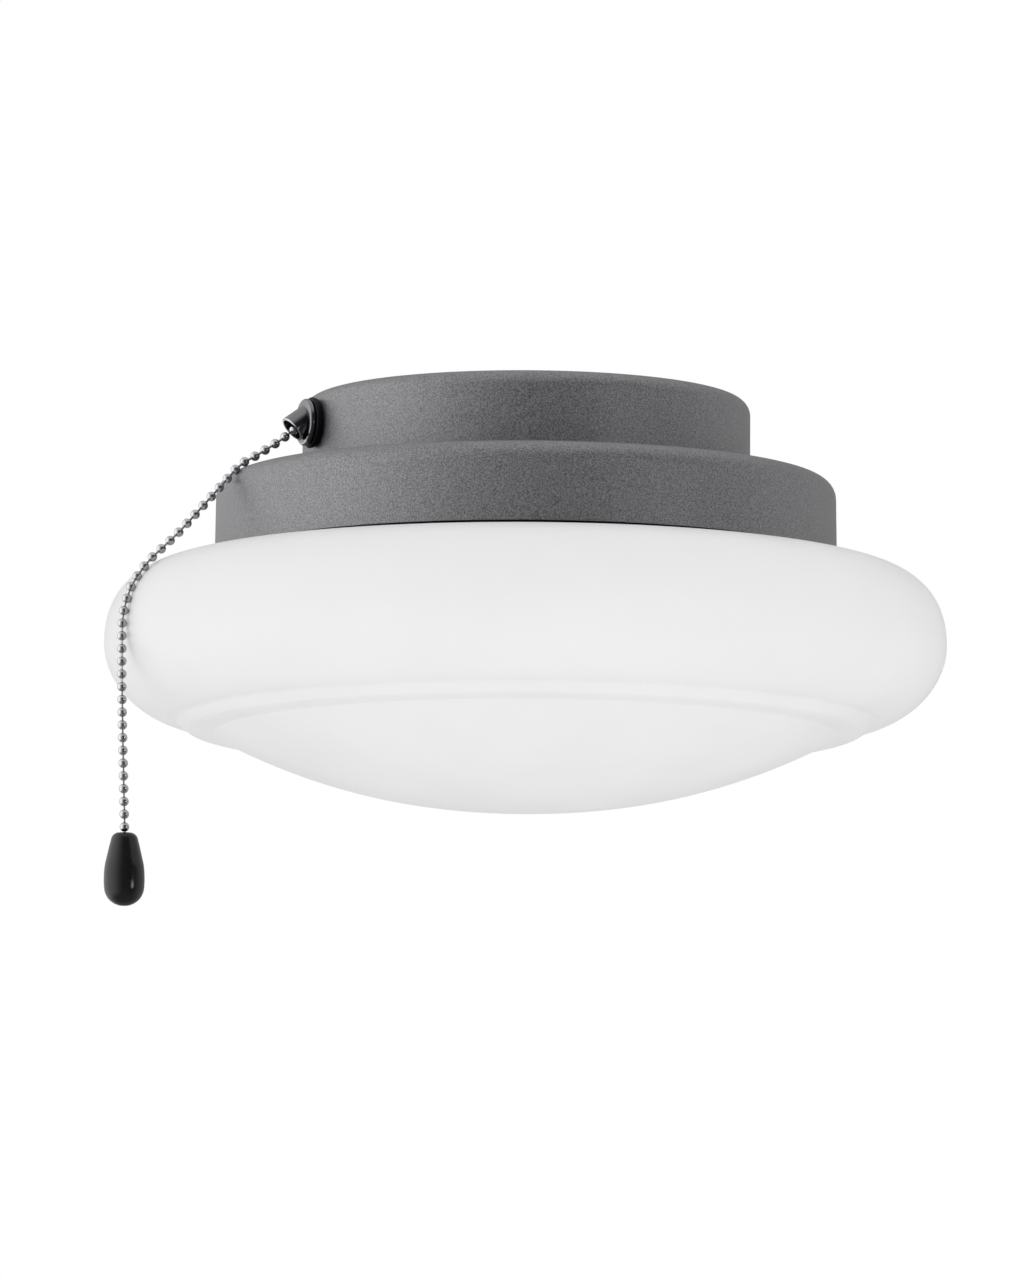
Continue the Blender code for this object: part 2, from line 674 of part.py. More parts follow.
def build_reflector():
    """The white pan inside the lower tier, which spreads the light and carries board and clips."""
    points = [
        (STEM_RADIUS + CLEARANCE_HOLE, REFLECTOR_TOP_Z), (REFLECTOR_FLAT_RADIUS, REFLECTOR_TOP_Z),
        (REFLECTOR_RIM_RADIUS, REFLECTOR_TOP_Z - REFLECTOR_DEPTH),
    ]
    reflector = turned("reflector_pan", points, WHITE_ENAMEL, steps=BIG_STEPS, wall=SHEET)
    screw_holes = around("reflector_screw_hole", BOARD_SCREW_COUNT, BOARD_SCREW_CIRCLE, BOARD_SCREW_ANGLE)
    for name, _, (x, y, _) in screw_holes:
        cut(reflector, through_hole(name, x, y, REFLECTOR_UNDER_Z, REFLECTOR_TOP_Z, SCREW_HOLE_RADIUS))
    rivet_holes = around("reflector_rivet_hole", CLIP_COUNT, rivet_circle(), CLIP_FIRST_ANGLE)
    rivet_hole_radius = RIVET_RADIUS + SEAT_GAP
    for name, _, (x, y, _) in rivet_holes:
        cut(reflector, through_hole(name, x, y, REFLECTOR_UNDER_Z, REFLECTOR_TOP_Z, rivet_hole_radius))
    return reflector


def through_hole(name, x, y, low, high, radius, parent=None):
    """A cutter for a hole through a sheet."""
    return cylinder(name, radius, (x, y, low - OVERRUN), (x, y, high + OVERRUN), parent=parent, steps=12)


def build_lamp_board():
    """The aluminium lamp board: a ring of two rows of square light chips, held by three screws."""
    points = ring_points(BOARD_HOLE_RADIUS, BOARD_RADIUS, BOARD_TOP_Z, BOARD_UNDER_Z)
    board = turned("lamp_board", points, BOARD_WHITE, steps=BIG_STEPS, closed=True)
    chips = bmesh.new()
    chip_depth = CHIP_HEIGHT + SEAT_GAP
    chip_level = BOARD_UNDER_Z + SEAT_GAP - chip_depth / 2
    chip_size = Matrix.Diagonal((CHIP_SIDE, CHIP_SIDE, chip_depth, 1.0))
    for radius, count in zip(CHIP_RING_RADII, CHIP_RING_COUNTS):
        for _, angle, (x, y, _) in around("chip", count, radius):
            place = Matrix.Translation((x, y, chip_level)) @ Matrix.Rotation(angle, 4, "Z")
            bmesh.ops.create_cube(chips, size=1.0, matrix=place @ chip_size)
    mesh = bpy.data.meshes.new("light_chips")
    chips.to_mesh(mesh)
    chips.free()
    join(board, link("light_chips", mesh))
    screws = around("board_screw", BOARD_SCREW_COUNT, BOARD_SCREW_CIRCLE, BOARD_SCREW_ANGLE)
    for name, _, (x, y, _) in screws:
        cut(board, through_hole(name + "_hole", x, y, BOARD_UNDER_Z, BOARD_TOP_Z, SCREW_HOLE_RADIUS))
        screw(name, x, y, -1, BOARD_UNDER_Z, REFLECTOR_TOP_Z - SEAT_GAP)
    return board


def build_driver(driver_axis):
    """The driver: a plastic box with two screwed ears, its circuit board with parts, and a snap-on lid."""
    floor = PAN_TOP_Z + SEAT_GAP
    case = box(
        "driver_case", (DRIVER_LENGTH, DRIVER_WIDTH, DRIVER_HEIGHT), (0.0, 0.0, floor + DRIVER_HEIGHT / 2),
        NATURAL_PLASTIC, driver_axis, DRIVER_CORNER,
    )
    for side in (-1, 1):
        y = side * (DRIVER_WIDTH + DRIVER_EAR) / 2
        ear = box(
            f"driver_ear_{side + 2}", (DRIVER_EAR, DRIVER_EAR + DRIVER_CORNER * 2, DRIVER_EAR_THICKNESS),
            (0.0, y - side * DRIVER_CORNER, floor + DRIVER_EAR_THICKNESS / 2), parent=driver_axis,
        )
        join(case, ear)
        ear_top = floor + DRIVER_EAR_THICKNESS
        hole_name = f"driver_ear_hole_{side + 2}"
        cut(case, through_hole(hole_name, 0.0, y, floor, ear_top, SCREW_HOLE_RADIUS, driver_axis))
        screw(f"driver_screw_{(side + 3) // 2}", 0.0, y, 1, ear_top, PAN_TOP_Z - SHEET, driver_axis)
    inside = (DRIVER_LENGTH - 2 * DRIVER_WALL, DRIVER_WIDTH - 2 * DRIVER_WALL)
    depth = DRIVER_HEIGHT - DRIVER_WALL + OVERRUN
    hollow_centre = (0.0, 0.0, floor + DRIVER_WALL + depth / 2)
    cut(case, box("driver_inside", (*inside, depth), hollow_centre, parent=driver_axis))
    board_bottom = floor + DRIVER_WALL + SEAT_GAP
    board = box(
        "driver_board", (inside[0] - 2 * SEAT_GAP, inside[1] - 2 * SEAT_GAP, DRIVER_BOARD_THICKNESS),
        (0.0, 0.0, board_bottom + DRIVER_BOARD_THICKNESS / 2), BOARD_WHITE, driver_axis,
    )
    board_top = board_bottom + DRIVER_BOARD_THICKNESS
    transformer = box(
        "transformer", TRANSFORMER_SIZE,
        (0.0, TRANSFORMER_SHARE * DRIVER_WIDTH, board_top + TRANSFORMER_SIZE[2] / 2 - SEAT_GAP),
        parent=driver_axis,
    )
    height = board_top + CAPACITOR_RADIUS - SEAT_GAP
    capacitor_start = CAPACITOR_SHARE * DRIVER_WIDTH
    capacitor = cylinder(
        "capacitor", CAPACITOR_RADIUS, (0.0, capacitor_start, height),
        (0.0, capacitor_start + CAPACITOR_LENGTH, height), parent=driver_axis, steps=14,
    )
    join(board, transformer, capacitor)
    lid_bottom = floor + DRIVER_HEIGHT + SEAT_GAP
    lid = box(
        "driver_lid", (DRIVER_LENGTH, DRIVER_WIDTH, DRIVER_WALL), (0.0, 0.0, lid_bottom + DRIVER_WALL / 2),
        NATURAL_PLASTIC, driver_axis,
    )
    lip = box(
        "driver_lid_lip", (inside[0] - 2 * SEAT_GAP, inside[1] - 2 * SEAT_GAP, DRIVER_WALL + SEAT_GAP),
        (0.0, 0.0, lid_bottom - DRIVER_WALL / 2 + SEAT_GAP), parent=driver_axis,
    )
    lip_gap = box(
        "driver_lid_hollow",
        (inside[0] - 2 * DRIVER_WALL, inside[1] - 2 * DRIVER_WALL, DRIVER_WALL + OVERRUN),
        (0.0, 0.0, lid_bottom - (DRIVER_WALL + OVERRUN) / 2), parent=driver_axis,
    )
    return cut(join(lid, lip), lip_gap)


def superellipse_quarter(centre, width, height, power, start_share, end_share, steps):
    """Points on a quarter of a superellipse; shares run from 0 at top or bottom to 1 at the side."""
    points = []
    for step in range(steps + 1):
        angle = math.pi / 2 * (start_share + (end_share - start_share) * step / steps)
        out = width * math.sin(angle) ** (2 / power)
        up = height * math.cos(angle) ** (2 / power)
        points.append((centre[0] + out, centre[1] + up))
    return points


def glass_profile():
    """The bowl's outer line from the neck's rim down: neck, shoulder, bulb, bead ring and dome."""
    centre = (BULB_CENTRE_RADIUS, BULB_CENTRE_Z)
    width = GLASS_RADIUS - BULB_CENTRE_RADIUS
    neck = [
        (NECK_RADIUS, NECK_TOP_Z), (NECK_RADIUS, SHOULDER_Z + NECK_FOOT_RISE), (LOWER_RADIUS, SHOULDER_Z),
    ]
    upper = superellipse_quarter(
        centre, width, BULB_UPPER_HEIGHT, BULB_UPPER_POWER, BULB_TOP_SHARE, 1.0, 4,
    )
    lower = superellipse_quarter(
        centre, width, -BULB_LOWER_HEIGHT, BULB_LOWER_POWER, 1.0, BULB_FOOT_SHARE, 4,
    )[1:]
    bead_radius, bead_z = lower[-1]
    bead = [
        (bead_radius - BEAD_WIDTH * inward, bead_z - BEAD_DROP * down)
        for inward, down in BEAD_PROFILE_SHARES + ((1.0, 1.0),)
    ]
    dome_radius, dome_z = bead[-1]
    dome = []
    dome_steps = 4
    for step in range(1, dome_steps + 1):
        radius = dome_radius * math.cos(math.pi / 2 * step / dome_steps)
        fall = DOME_DEPTH * (1 - (radius / dome_radius) ** DOME_POWER)
        dome.append((radius if step < dome_steps else 0.0, dome_z - fall))
    return neck + upper + lower + bead + dome


def build_glass():
    """The opal glass bowl."""
    return turned("glass_bowl", glass_profile(), OPAL_GLASS, steps=BIG_STEPS, wall=GLASS_THICKNESS)


def build_collar():
    """The steel collar cemented round the neck: its inward lip has a notch for each clip."""
    inner = NECK_RADIUS + SEAT_GAP
    outer = inner + COLLAR_SHEET
    bottom = PAN_RIM_Z + SEAT_GAP + GASKET_HEIGHT + SEAT_GAP
    points = [
        (COLLAR_INNER_RADIUS, COLLAR_TOP_Z), (outer, COLLAR_TOP_Z), (outer, bottom), (inner, bottom),
        (inner, COLLAR_UNDER_Z), (COLLAR_INNER_RADIUS, COLLAR_UNDER_Z),
    ]
    collar = turned("glass_collar", points, ZINC_STEEL, steps=BIG_STEPS, closed=True)
    depth = COLLAR_NOTCH_DEPTH + OVERRUN
    notches = around("collar_notch", CLIP_COUNT, COLLAR_INNER_RADIUS, CLIP_FIRST_ANGLE - TWIST_ANGLE)
    for name, angle, _ in notches:
        notch = box(
            name, (depth, COLLAR_NOTCH_WIDTH, COLLAR_SHEET + 2 * OVERRUN),
            (COLLAR_INNER_RADIUS - OVERRUN + depth / 2, 0.0, (COLLAR_TOP_Z + COLLAR_UNDER_Z) / 2),
        )
        notch.rotation_euler = (0.0, 0.0, angle)
        cut(collar, notch)
    return collar


def clip_leg_radius():
    """The outer face of a clip's leg, clear of the collar's lip."""
    return COLLAR_INNER_RADIUS - SEAT_GAP * 2


def rivet_circle():
    """The radius at which the clips' feet are riveted."""
    return clip_leg_radius() - CLIP_SHEET - CLIP_FOOT / 2


def build_clips():
    """Three spring clips riveted under the reflector, whose hooks hold the collar's lip."""
    leg = clip_leg_radius()
    hook_under = CLIP_HOOK_TOP_Z - CLIP_SHEET
    outline = [
        (leg - CLIP_SHEET - CLIP_FOOT, CLIP_TOP_Z), (leg - CLIP_SHEET - CLIP_FOOT, CLIP_TOP_Z - CLIP_SHEET),
        (leg - CLIP_SHEET, CLIP_TOP_Z - CLIP_SHEET), (leg - CLIP_SHEET, hook_under),
        (leg + CLIP_HOOK - CLIP_SHEET, hook_under), (leg + CLIP_HOOK - CLIP_SHEET, CLIP_HOOK_TOP_Z),
        (leg, CLIP_HOOK_TOP_Z), (leg, CLIP_TOP_Z),
    ]
    clips = around("retainer_clip", CLIP_COUNT, rivet_circle(), CLIP_FIRST_ANGLE)
    hole_radius = RIVET_RADIUS + SEAT_GAP
    for name, angle, (x, y, _) in clips:
        clip = flat_plate(name, outline, CLIP_WIDTH, SPRING_STEEL)
        clip.rotation_euler = (math.pi / 2, 0.0, angle)
        cut(clip, through_hole(name + "_hole", x, y, CLIP_TOP_Z - CLIP_SHEET, CLIP_TOP_Z, hole_radius))
    for name, _, (x, y, _) in around("clip_rivet", CLIP_COUNT, rivet_circle(), CLIP_FIRST_ANGLE):
        head_top = CLIP_TOP_Z - CLIP_SHEET - SEAT_GAP
        top = REFLECTOR_TOP_Z
        rivet = turned(
            name, [
                (0.0, top), (RIVET_RADIUS, top), (RIVET_RADIUS, head_top), (RIVET_HEAD_RADIUS, head_top),
                (RIVET_HEAD_RADIUS / 2, head_top - RIVET_HEAD), (0.0, head_top - RIVET_HEAD),
            ], ZINC_STEEL, steps=12,
        )
        rivet.location = (x, y, 0.0)


def build_gasket():
    """The black foam ring inside the pan's rim that the bowl's shoulder comes up against."""
    outer = LOWER_RADIUS - SHEET - SEAT_GAP
    bottom = PAN_RIM_Z + SEAT_GAP
    points = ring_points(outer - GASKET_THICKNESS, outer, bottom + GASKET_HEIGHT, bottom)
    return turned("rim_gasket", points, BLACK_RUBBER, steps=BIG_STEPS, closed=True)


def along_x(item):
    """Lays a turned piece so that its top points along +X."""
    item.rotation_euler = (0.0, math.pi / 2, 0.0)
    return item


def build_grommet(switch_axis):
    """The fat rubber grommet in the wall, round outside and flat inside."""
    outer_back = SEAT_GAP
    outer_front = SEAT_GAP + GROMMET_THICKNESS
    inner_front = -SHEET - WALL_ALLOWANCE
    inner_back = inner_front - GROMMET_INNER
    neck = GROMMET_NECK_RADIUS - SEAT_GAP
    bore = BARREL_RADIUS + SEAT_GAP
    bulge = GROMMET_THICKNESS / 2
    points = [
        (bore, outer_front),
        *arc((GROMMET_RADIUS - bulge, outer_front - bulge), bulge, 90, -60, 6),
        (neck, outer_back), (neck, inner_front), (GROMMET_INNER_RADIUS, inner_front),
        (GROMMET_INNER_RADIUS, inner_back), (bore, inner_back),
    ]
    return along_x(turned("wall_grommet", points, BLACK_RUBBER, switch_axis, closed=True))


def build_nozzle(switch_axis):
    """The nickel nozzle: threaded barrel, domed flange and a bell-mouthed snout that points down and out."""
    barrel_back = CAVITY_FRONT_X + SEAT_GAP
    flange_edge = FLANGE_THICKNESS / 2
    points = [
        (0.0, FLANGE_FRONT_X), (FLANGE_RADIUS - FLANGE_THICKNESS, FLANGE_FRONT_X),
        *arc((FLANGE_RADIUS - flange_edge, FLANGE_BACK_X + flange_edge), flange_edge, 60, -90, 4),
        (BARREL_RADIUS, FLANGE_BACK_X), (BARREL_RADIUS, barrel_back), (0.0, barrel_back),
    ]
    nozzle = along_x(turned("chain_nozzle", points, NICKEL, switch_axis))
    lip = (SNOUT_MOUTH_RADIUS - SNOUT_LIP_RADIUS / 2, 0.0)
    snout = turned(
        "snout", [
            (0.0, 0.0), *arc(lip, SNOUT_LIP_RADIUS, 90, -60, 4),
            (SNOUT_BACK_RADIUS, -SNOUT_BACK), (0.0, -SNOUT_BACK),
        ], parent=switch_axis,
    )
    bend = Vector((FLANGE_FRONT_X - SEAT_GAP, 0.0, SNOUT_RISE))
    mouth_from_bend = SNOUT_LENGTH - SNOUT_BACK
    axis = Vector((math.cos(SNOUT_TILT), 0.0, -math.sin(SNOUT_TILT)))
    snout.location = bend + axis * mouth_from_bend
    snout.rotation_euler = (0.0, math.pi / 2 + SNOUT_TILT, 0.0)
    bore = cylinder(
        "barrel_bore", BARREL_BORE_RADIUS, (barrel_back - OVERRUN, 0.0, 0.0), (bend.x, 0.0, 0.0),
        parent=switch_axis,
    )
    funnel = cylinder(
        "snout_bore", BARREL_BORE_RADIUS, bend - axis * SNOUT_WALL, bend + axis * (mouth_from_bend + OVERRUN),
        parent=switch_axis, end_radius=SNOUT_MOUTH_RADIUS - SNOUT_WALL,
    )
    knee = ball("bore_knee", KNEE_RADIUS, bend, switch_axis)
    return cut(join(nozzle, snout), join(bore, knee, funnel))


def build_switch_case(switch_axis):
    """The moulded switch body, open on top, with a spindle for the rotor, and its cover."""
    middle_x = (SWITCH_FRONT_X + SWITCH_BACK_X) / 2
    body = box(
        "switch_body", (SWITCH_LENGTH, SWITCH_WIDTH, SWITCH_ABOVE + SWITCH_BELOW),
        (middle_x, 0.0, (SWITCH_ABOVE - SWITCH_BELOW) / 2),
        BROWN_PHENOLIC, switch_axis, SWITCH_CORNER,
    )
    floor = cavity_floor()
    depth = SWITCH_ABOVE - floor + OVERRUN
    cavity = box(
        "switch_cavity", (CAVITY_FRONT_X - CAVITY_BACK_X, SWITCH_WIDTH - 2 * SWITCH_WALL, depth),
        ((CAVITY_FRONT_X + CAVITY_BACK_X) / 2, 0.0, floor + depth / 2), parent=switch_axis,
    )
    hole = cylinder(
        "switch_front_hole", BARREL_RADIUS + SEAT_GAP, (CAVITY_FRONT_X - OVERRUN, 0.0, 0.0),
        (SWITCH_FRONT_X + OVERRUN, 0.0, 0.0), parent=switch_axis,
    )
    cut(body, cavity, hole)
    for side in (-1, 1):
        slot = box(
            f"terminal_slot_{side + 2}",
            (SWITCH_WALL + 2 * OVERRUN, TERMINAL_WIDTH + 2 * SEAT_GAP, TERMINAL_THICKNESS + 2 * SEAT_GAP),
            ((CAVITY_BACK_X + SWITCH_BACK_X) / 2, side * TERMINAL_SPACING / 2, terminal_level()),
            parent=switch_axis,
        )
        cut(body, slot)
    spindle = cylinder(
        "rotor_spindle", ROTOR_PIN_RADIUS, (ROTOR_X, 0.0, floor - SWITCH_WALL / 2), (ROTOR_X, 0.0, ROTOR_Z),
        parent=switch_axis, steps=12,
    )
    join(body, spindle)
    top = SWITCH_ABOVE + SEAT_GAP
    box(
        "switch_cover", (SWITCH_LENGTH, SWITCH_WIDTH, SWITCH_COVER), (middle_x, 0.0, top + SWITCH_COVER / 2),
        BROWN_PHENOLIC, switch_axis,
    )
    return body


def cavity_floor():
    """The height of the switch cavity's floor above the switch's axis, a negative length."""
    return SWITCH_WALL - SWITCH_BELOW


def terminal_level():
    """The middle height of the two terminals, which lie on the cavity's floor."""
    return cavity_floor() + SEAT_GAP + TERMINAL_THICKNESS / 2


def build_switch_slider(slider_axis):
    """The slider that the chain pulls: a block with a stem to the nozzle and a pawl beside the rotor."""
    middle = (SLIDER_BACK_X + SLIDER_FRONT_X) / 2
    block_size = (SLIDER_LENGTH, SLIDER_WIDTH, SLIDER_HEIGHT)
    slider = box("switch_slider", block_size, (middle, 0.0, 0.0), BRASS, slider_axis)
    stem_end = CHAIN_ROUTE[0][0] - UPPER_RADIUS - SEAT_GAP
    stem = cylinder(
        "slider_stem", SLIDER_STEM_RADIUS, (middle, 0.0, 0.0), (stem_end, 0.0, 0.0),
        parent=slider_axis, steps=12,
    )
    pawl_y = ROTOR_RADIUS + SEAT_GAP + PAWL_WIDTH / 2
    pawl = box(
        "slider_pawl", (PAWL_LENGTH, PAWL_WIDTH, SLIDER_HEIGHT / 2 + PAWL_DROP),
        (middle, pawl_y, -(SLIDER_HEIGHT / 2 + PAWL_DROP) / 2), parent=slider_axis,
    )
    arm = box(
        "slider_arm", (PAWL_LENGTH, pawl_y + PAWL_WIDTH / 2, PAWL_WIDTH),
        (middle, (pawl_y + PAWL_WIDTH / 2) / 2, -PAWL_WIDTH / 2), parent=slider_axis,
    )
    return join(slider, stem, arm, pawl)


def build_switch_spring(switch_axis):
    """The return spring round the slider's stem, between the slider and the front wall."""
    start = SLIDER_FRONT_X + SEAT_GAP + SPRING_WIRE_RADIUS
    end = CAVITY_FRONT_X - SEAT_GAP - SPRING_WIRE_RADIUS
    count = SPRING_TURNS * SPRING_POINTS_PER_TURN
    points = []
    for index in range(count + 1):
        angle = 2 * math.pi * index / SPRING_POINTS_PER_TURN
        x = start + (end - start) * index / count
        points.append((x, SPRING_RADIUS * math.cos(angle), SPRING_RADIUS * math.sin(angle)))
    return tube("switch_spring", points, SPRING_WIRE_RADIUS, SPRING_STEEL, switch_axis, resolution=0)


def build_rotor(rotor_axis):
    """The four-lugged contact rotor on its spindle, with the brass bridge under it."""
    rotor_under = -ROTOR_THICKNESS
    points = ring_points(ROTOR_PIN_RADIUS + CLEARANCE_HOLE, ROTOR_HUB_RADIUS, 0.0, rotor_under)
    rotor = turned("contact_rotor", points, NATURAL_PLASTIC, rotor_axis, closed=True)
    lug_start = (ROTOR_HUB_RADIUS + ROTOR_PIN_RADIUS) / 2
    lug_end = ROTOR_RADIUS - SEAT_GAP
    for name, angle, _ in around("rotor_lug", ROTOR_LUGS, ROTOR_RADIUS):
        lug = box(
            name, (lug_end - lug_start, ROTOR_LUG_WIDTH, ROTOR_THICKNESS),
            ((lug_end + lug_start) / 2, 0.0, rotor_under / 2), parent=rotor_axis,
        )
        lug.rotation_euler = (0.0, 0.0, angle)
        join(rotor, lug)
    bridge_top = rotor_under - SEAT_GAP
    bridge = box(
        "contact_bridge", (BRIDGE_WIDTH, BRIDGE_LENGTH, BRIDGE_THICKNESS),
        (0.0, 0.0, bridge_top - BRIDGE_THICKNESS / 2), BRASS, rotor_axis,
    )
    hole = cylinder(
        "bridge_hole", ROTOR_PIN_RADIUS + CLEARANCE_HOLE, (0.0, 0.0, bridge_top + OVERRUN),
        (0.0, 0.0, bridge_top - BRIDGE_THICKNESS - OVERRUN), parent=rotor_axis, steps=12,
    )
    eye = cylinder(
        "bridge_eye", ROTOR_PIN_RADIUS + BRIDGE_WIDTH / 2, (0.0, 0.0, bridge_top - BRIDGE_THICKNESS),
        (0.0, 0.0, bridge_top), parent=rotor_axis, steps=16,
    )
    return cut(join(bridge, eye), hole)


def build_terminals(switch_axis):
    """Two brass terminals that leave the switch's back through slots."""
    front = ROTOR_X - ROTOR_RADIUS / 2
    back = SWITCH_BACK_X - TERMINAL_TAIL
    for side, name in ((-1, "line_terminal"), (1, "load_terminal")):
        box(
            name, (front - back, TERMINAL_WIDTH, TERMINAL_THICKNESS),
            ((front + back) / 2, side * TERMINAL_SPACING / 2, terminal_level()), BRASS, switch_axis,
        )


def build_chain():
    """The ball chain: round balls on short links, from the slider's stem to the knob."""
    route = [in_plane(radius, height) for radius, height in CHAIN_ROUTE]
    _, at, length = smooth_route(route, BALL_PITCH)
    reach = length - LAST_LINK
    count = int((reach - BALL_RADIUS) / BALL_PITCH) + 1
    first_ball = reach - (count - 1) * BALL_PITCH
    distances, swells = [0.0], [LINK_SHARE]
    for index in range(count):
        for offset_share, radius_share in BALL_SECTION_SHARES:
            distances.append(first_ball + index * BALL_PITCH + offset_share * BALL_RADIUS)
            swells.append(radius_share)
    distances.append(length)
    swells.append(LINK_SHARE)
    points = [at(distance) for distance in distances]
    return tube("pull_chain", points, BALL_RADIUS, NICKEL, resolution=CHAIN_SIDES_RESOLUTION, swells=swells)


def knob_profile():
    """The knob's outer line from its flat top to its round end."""
    sides = []
    for out_share, drop_share in KNOB_PROFILE_SHARES:
        sides.append((KNOB_RADIUS * out_share, -KNOB_HEIGHT * drop_share))
    return [(0.0, 0.0), *sides, (0.0, -KNOB_HEIGHT)]


def build_knob():
    """The drop-shaped knob on the chain's end."""
    knob = turned("pull_knob", knob_profile(), BLACK_GLOSS)
    knob.location = in_plane(CHAIN_ROUTE[-1][0], KNOB_TOP_Z)
    return knob


def build_wires(switch_axis, driver_axis):
    """The leads: supply to switch and driver, switch to driver, and driver down the stem to the board."""
    bpy.context.view_layer.update()
    to_world = switch_axis.matrix_world
    from_driver = driver_axis.matrix_world
    socket_under = -SOCKET_DEPTH - WIRE_END_GAP
    tail_x = SWITCH_BACK_X - TERMINAL_TAIL - WIRE_END_GAP
    line_end = to_world @ Vector((tail_x, -TERMINAL_SPACING / 2, terminal_level()))
    load_end = to_world @ Vector((tail_x, TERMINAL_SPACING / 2, terminal_level()))
    outward = to_world.to_3x3() @ Vector((-1.0, 0.0, 0.0))
    case_side = -DRIVER_LENGTH / 2 - WIRE_END_GAP
    lead_level = PAN_TOP_Z + DRIVER_HEIGHT / 2
    down = Vector((0.0, 0.0, -1.0))
    pins = [Vector((side * PIN_HOLE_SPACING / 2, 0.0, socket_under)) for side in (-1, 1)]
    step = WIRE_SPACING

    def lead(name, points, material):
        """A wire through hand-placed points."""
        route, _, _ = smooth_route(points, 2 * step)
        return tube(name, route, WIRE_RADIUS, material)

    def driver_port(share):
        """A point on the driver case's inner side, at a share of its width."""
        return from_driver @ Vector((case_side, share * DRIVER_WIDTH, lead_level))

    inward = from_driver.to_3x3() @ Vector((-1.0, 0.0, 0.0))
    away = from_driver.to_3x3() @ Vector((1.0, 0.0, 0.0))
    lead("line_wire", [pins[0], pins[0] + down * step, line_end + outward * 2 * step, line_end], BLACK_WIRE)
    port = driver_port(SUPPLY_PORT_SHARE)
    lead("neutral_wire", [pins[1], pins[1] + down * step / 2, port + inward * 2 * step, port], WHITE_WIRE)
    port = driver_port(SWITCHED_PORT_SHARE)
    halfway = (load_end + port) / 2 + inward * step
    lead(
        "switched_wire",
        [load_end, load_end + outward * step, halfway, port + inward * 2 * step, port], RED_WIRE,
    )
    stem_top = STRAP_TOP_Z + STEM_ABOVE_STRAP
    stem_bottom = REFLECTOR_UNDER_Z - WASHER_THICKNESS - NUT_THICKNESS - STEM_BELOW_NUT - 2 * SEAT_GAP
    pad_level = BOARD_UNDER_Z - WIRE_END_GAP
    for side, name, material in ((1, "lamp_wire_plus", RED_WIRE), (-1, "lamp_wire_minus", BLACK_WIRE)):
        sideways = from_driver.to_3x3() @ Vector((0.0, side / 2, 0.0))
        across = sideways * LAMP_WIRE_SPACING
        port = driver_port(side * LAMP_PORT_SHARE)
        pad_across = sideways * LAMP_PAD_SPACING + Vector((0.0, 0.0, pad_level))
        pad = pad_across + away * (BOARD_HOLE_RADIUS + 2 * step)
        axis_top = across + Vector((0.0, 0.0, stem_top))
        axis_bottom = across + Vector((0.0, 0.0, stem_bottom))
        lead(
            name, [
                port, port + inward * step,
                axis_top - down * step - inward * 2 * step, axis_top + down * step,
                axis_bottom, axis_bottom + down * step + away * step, pad + down * 2 * step - away * step,
                pad + down * step, pad,
            ], material,
        )


def main():
    """Builds the light kit, outside first."""
    switch_axis = empty("switch_axis", in_plane(UPPER_RADIUS, -SWITCH_DEPTH), SWITCH_ANGLE)
    slider_axis = empty("slider_axis", in_plane(UPPER_RADIUS, -SWITCH_DEPTH), SWITCH_ANGLE)
    rotor_centre = in_plane(UPPER_RADIUS + ROTOR_X, -SWITCH_DEPTH + ROTOR_Z)
    rotor_axis = empty("rotor_axis", rotor_centre, SWITCH_ANGLE)
    driver_axis = empty("driver_axis", in_plane(-DRIVER_OFFSET, 0.0), SWITCH_ANGLE + math.pi)
    build_upper_housing(switch_axis)
    build_supply_socket()
    build_strap()
    build_stem()
    build_lower_housing(driver_axis)
    build_reflector()
    build_lamp_board()
    build_driver(driver_axis)
    build_glass()
    build_collar()
    build_clips()
    build_gasket()
    build_grommet(switch_axis)
    build_nozzle(switch_axis)
    build_switch_case(switch_axis)
    build_switch_slider(slider_axis)
    build_switch_spring(switch_axis)
    build_rotor(rotor_axis)
    build_terminals(switch_axis)
    build_chain()
    build_knob()
    build_wires(switch_axis, driver_axis)


main()
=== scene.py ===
"""Looks of a ceiling fan's light kit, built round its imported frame.

Lengths are in metres and +Z is up. The origin is the middle of the flat top that meets the fan. The pull
chain leaves the upper tier's wall at SWITCH_ANGLE, to the left and a little towards the camera.
"""

import json
import logging
import math
from collections.abc import Iterable, Mapping, Sequence
from dataclasses import dataclass, field
from enum import Enum

import bmesh
import bpy
from mathutils import Matrix, Vector

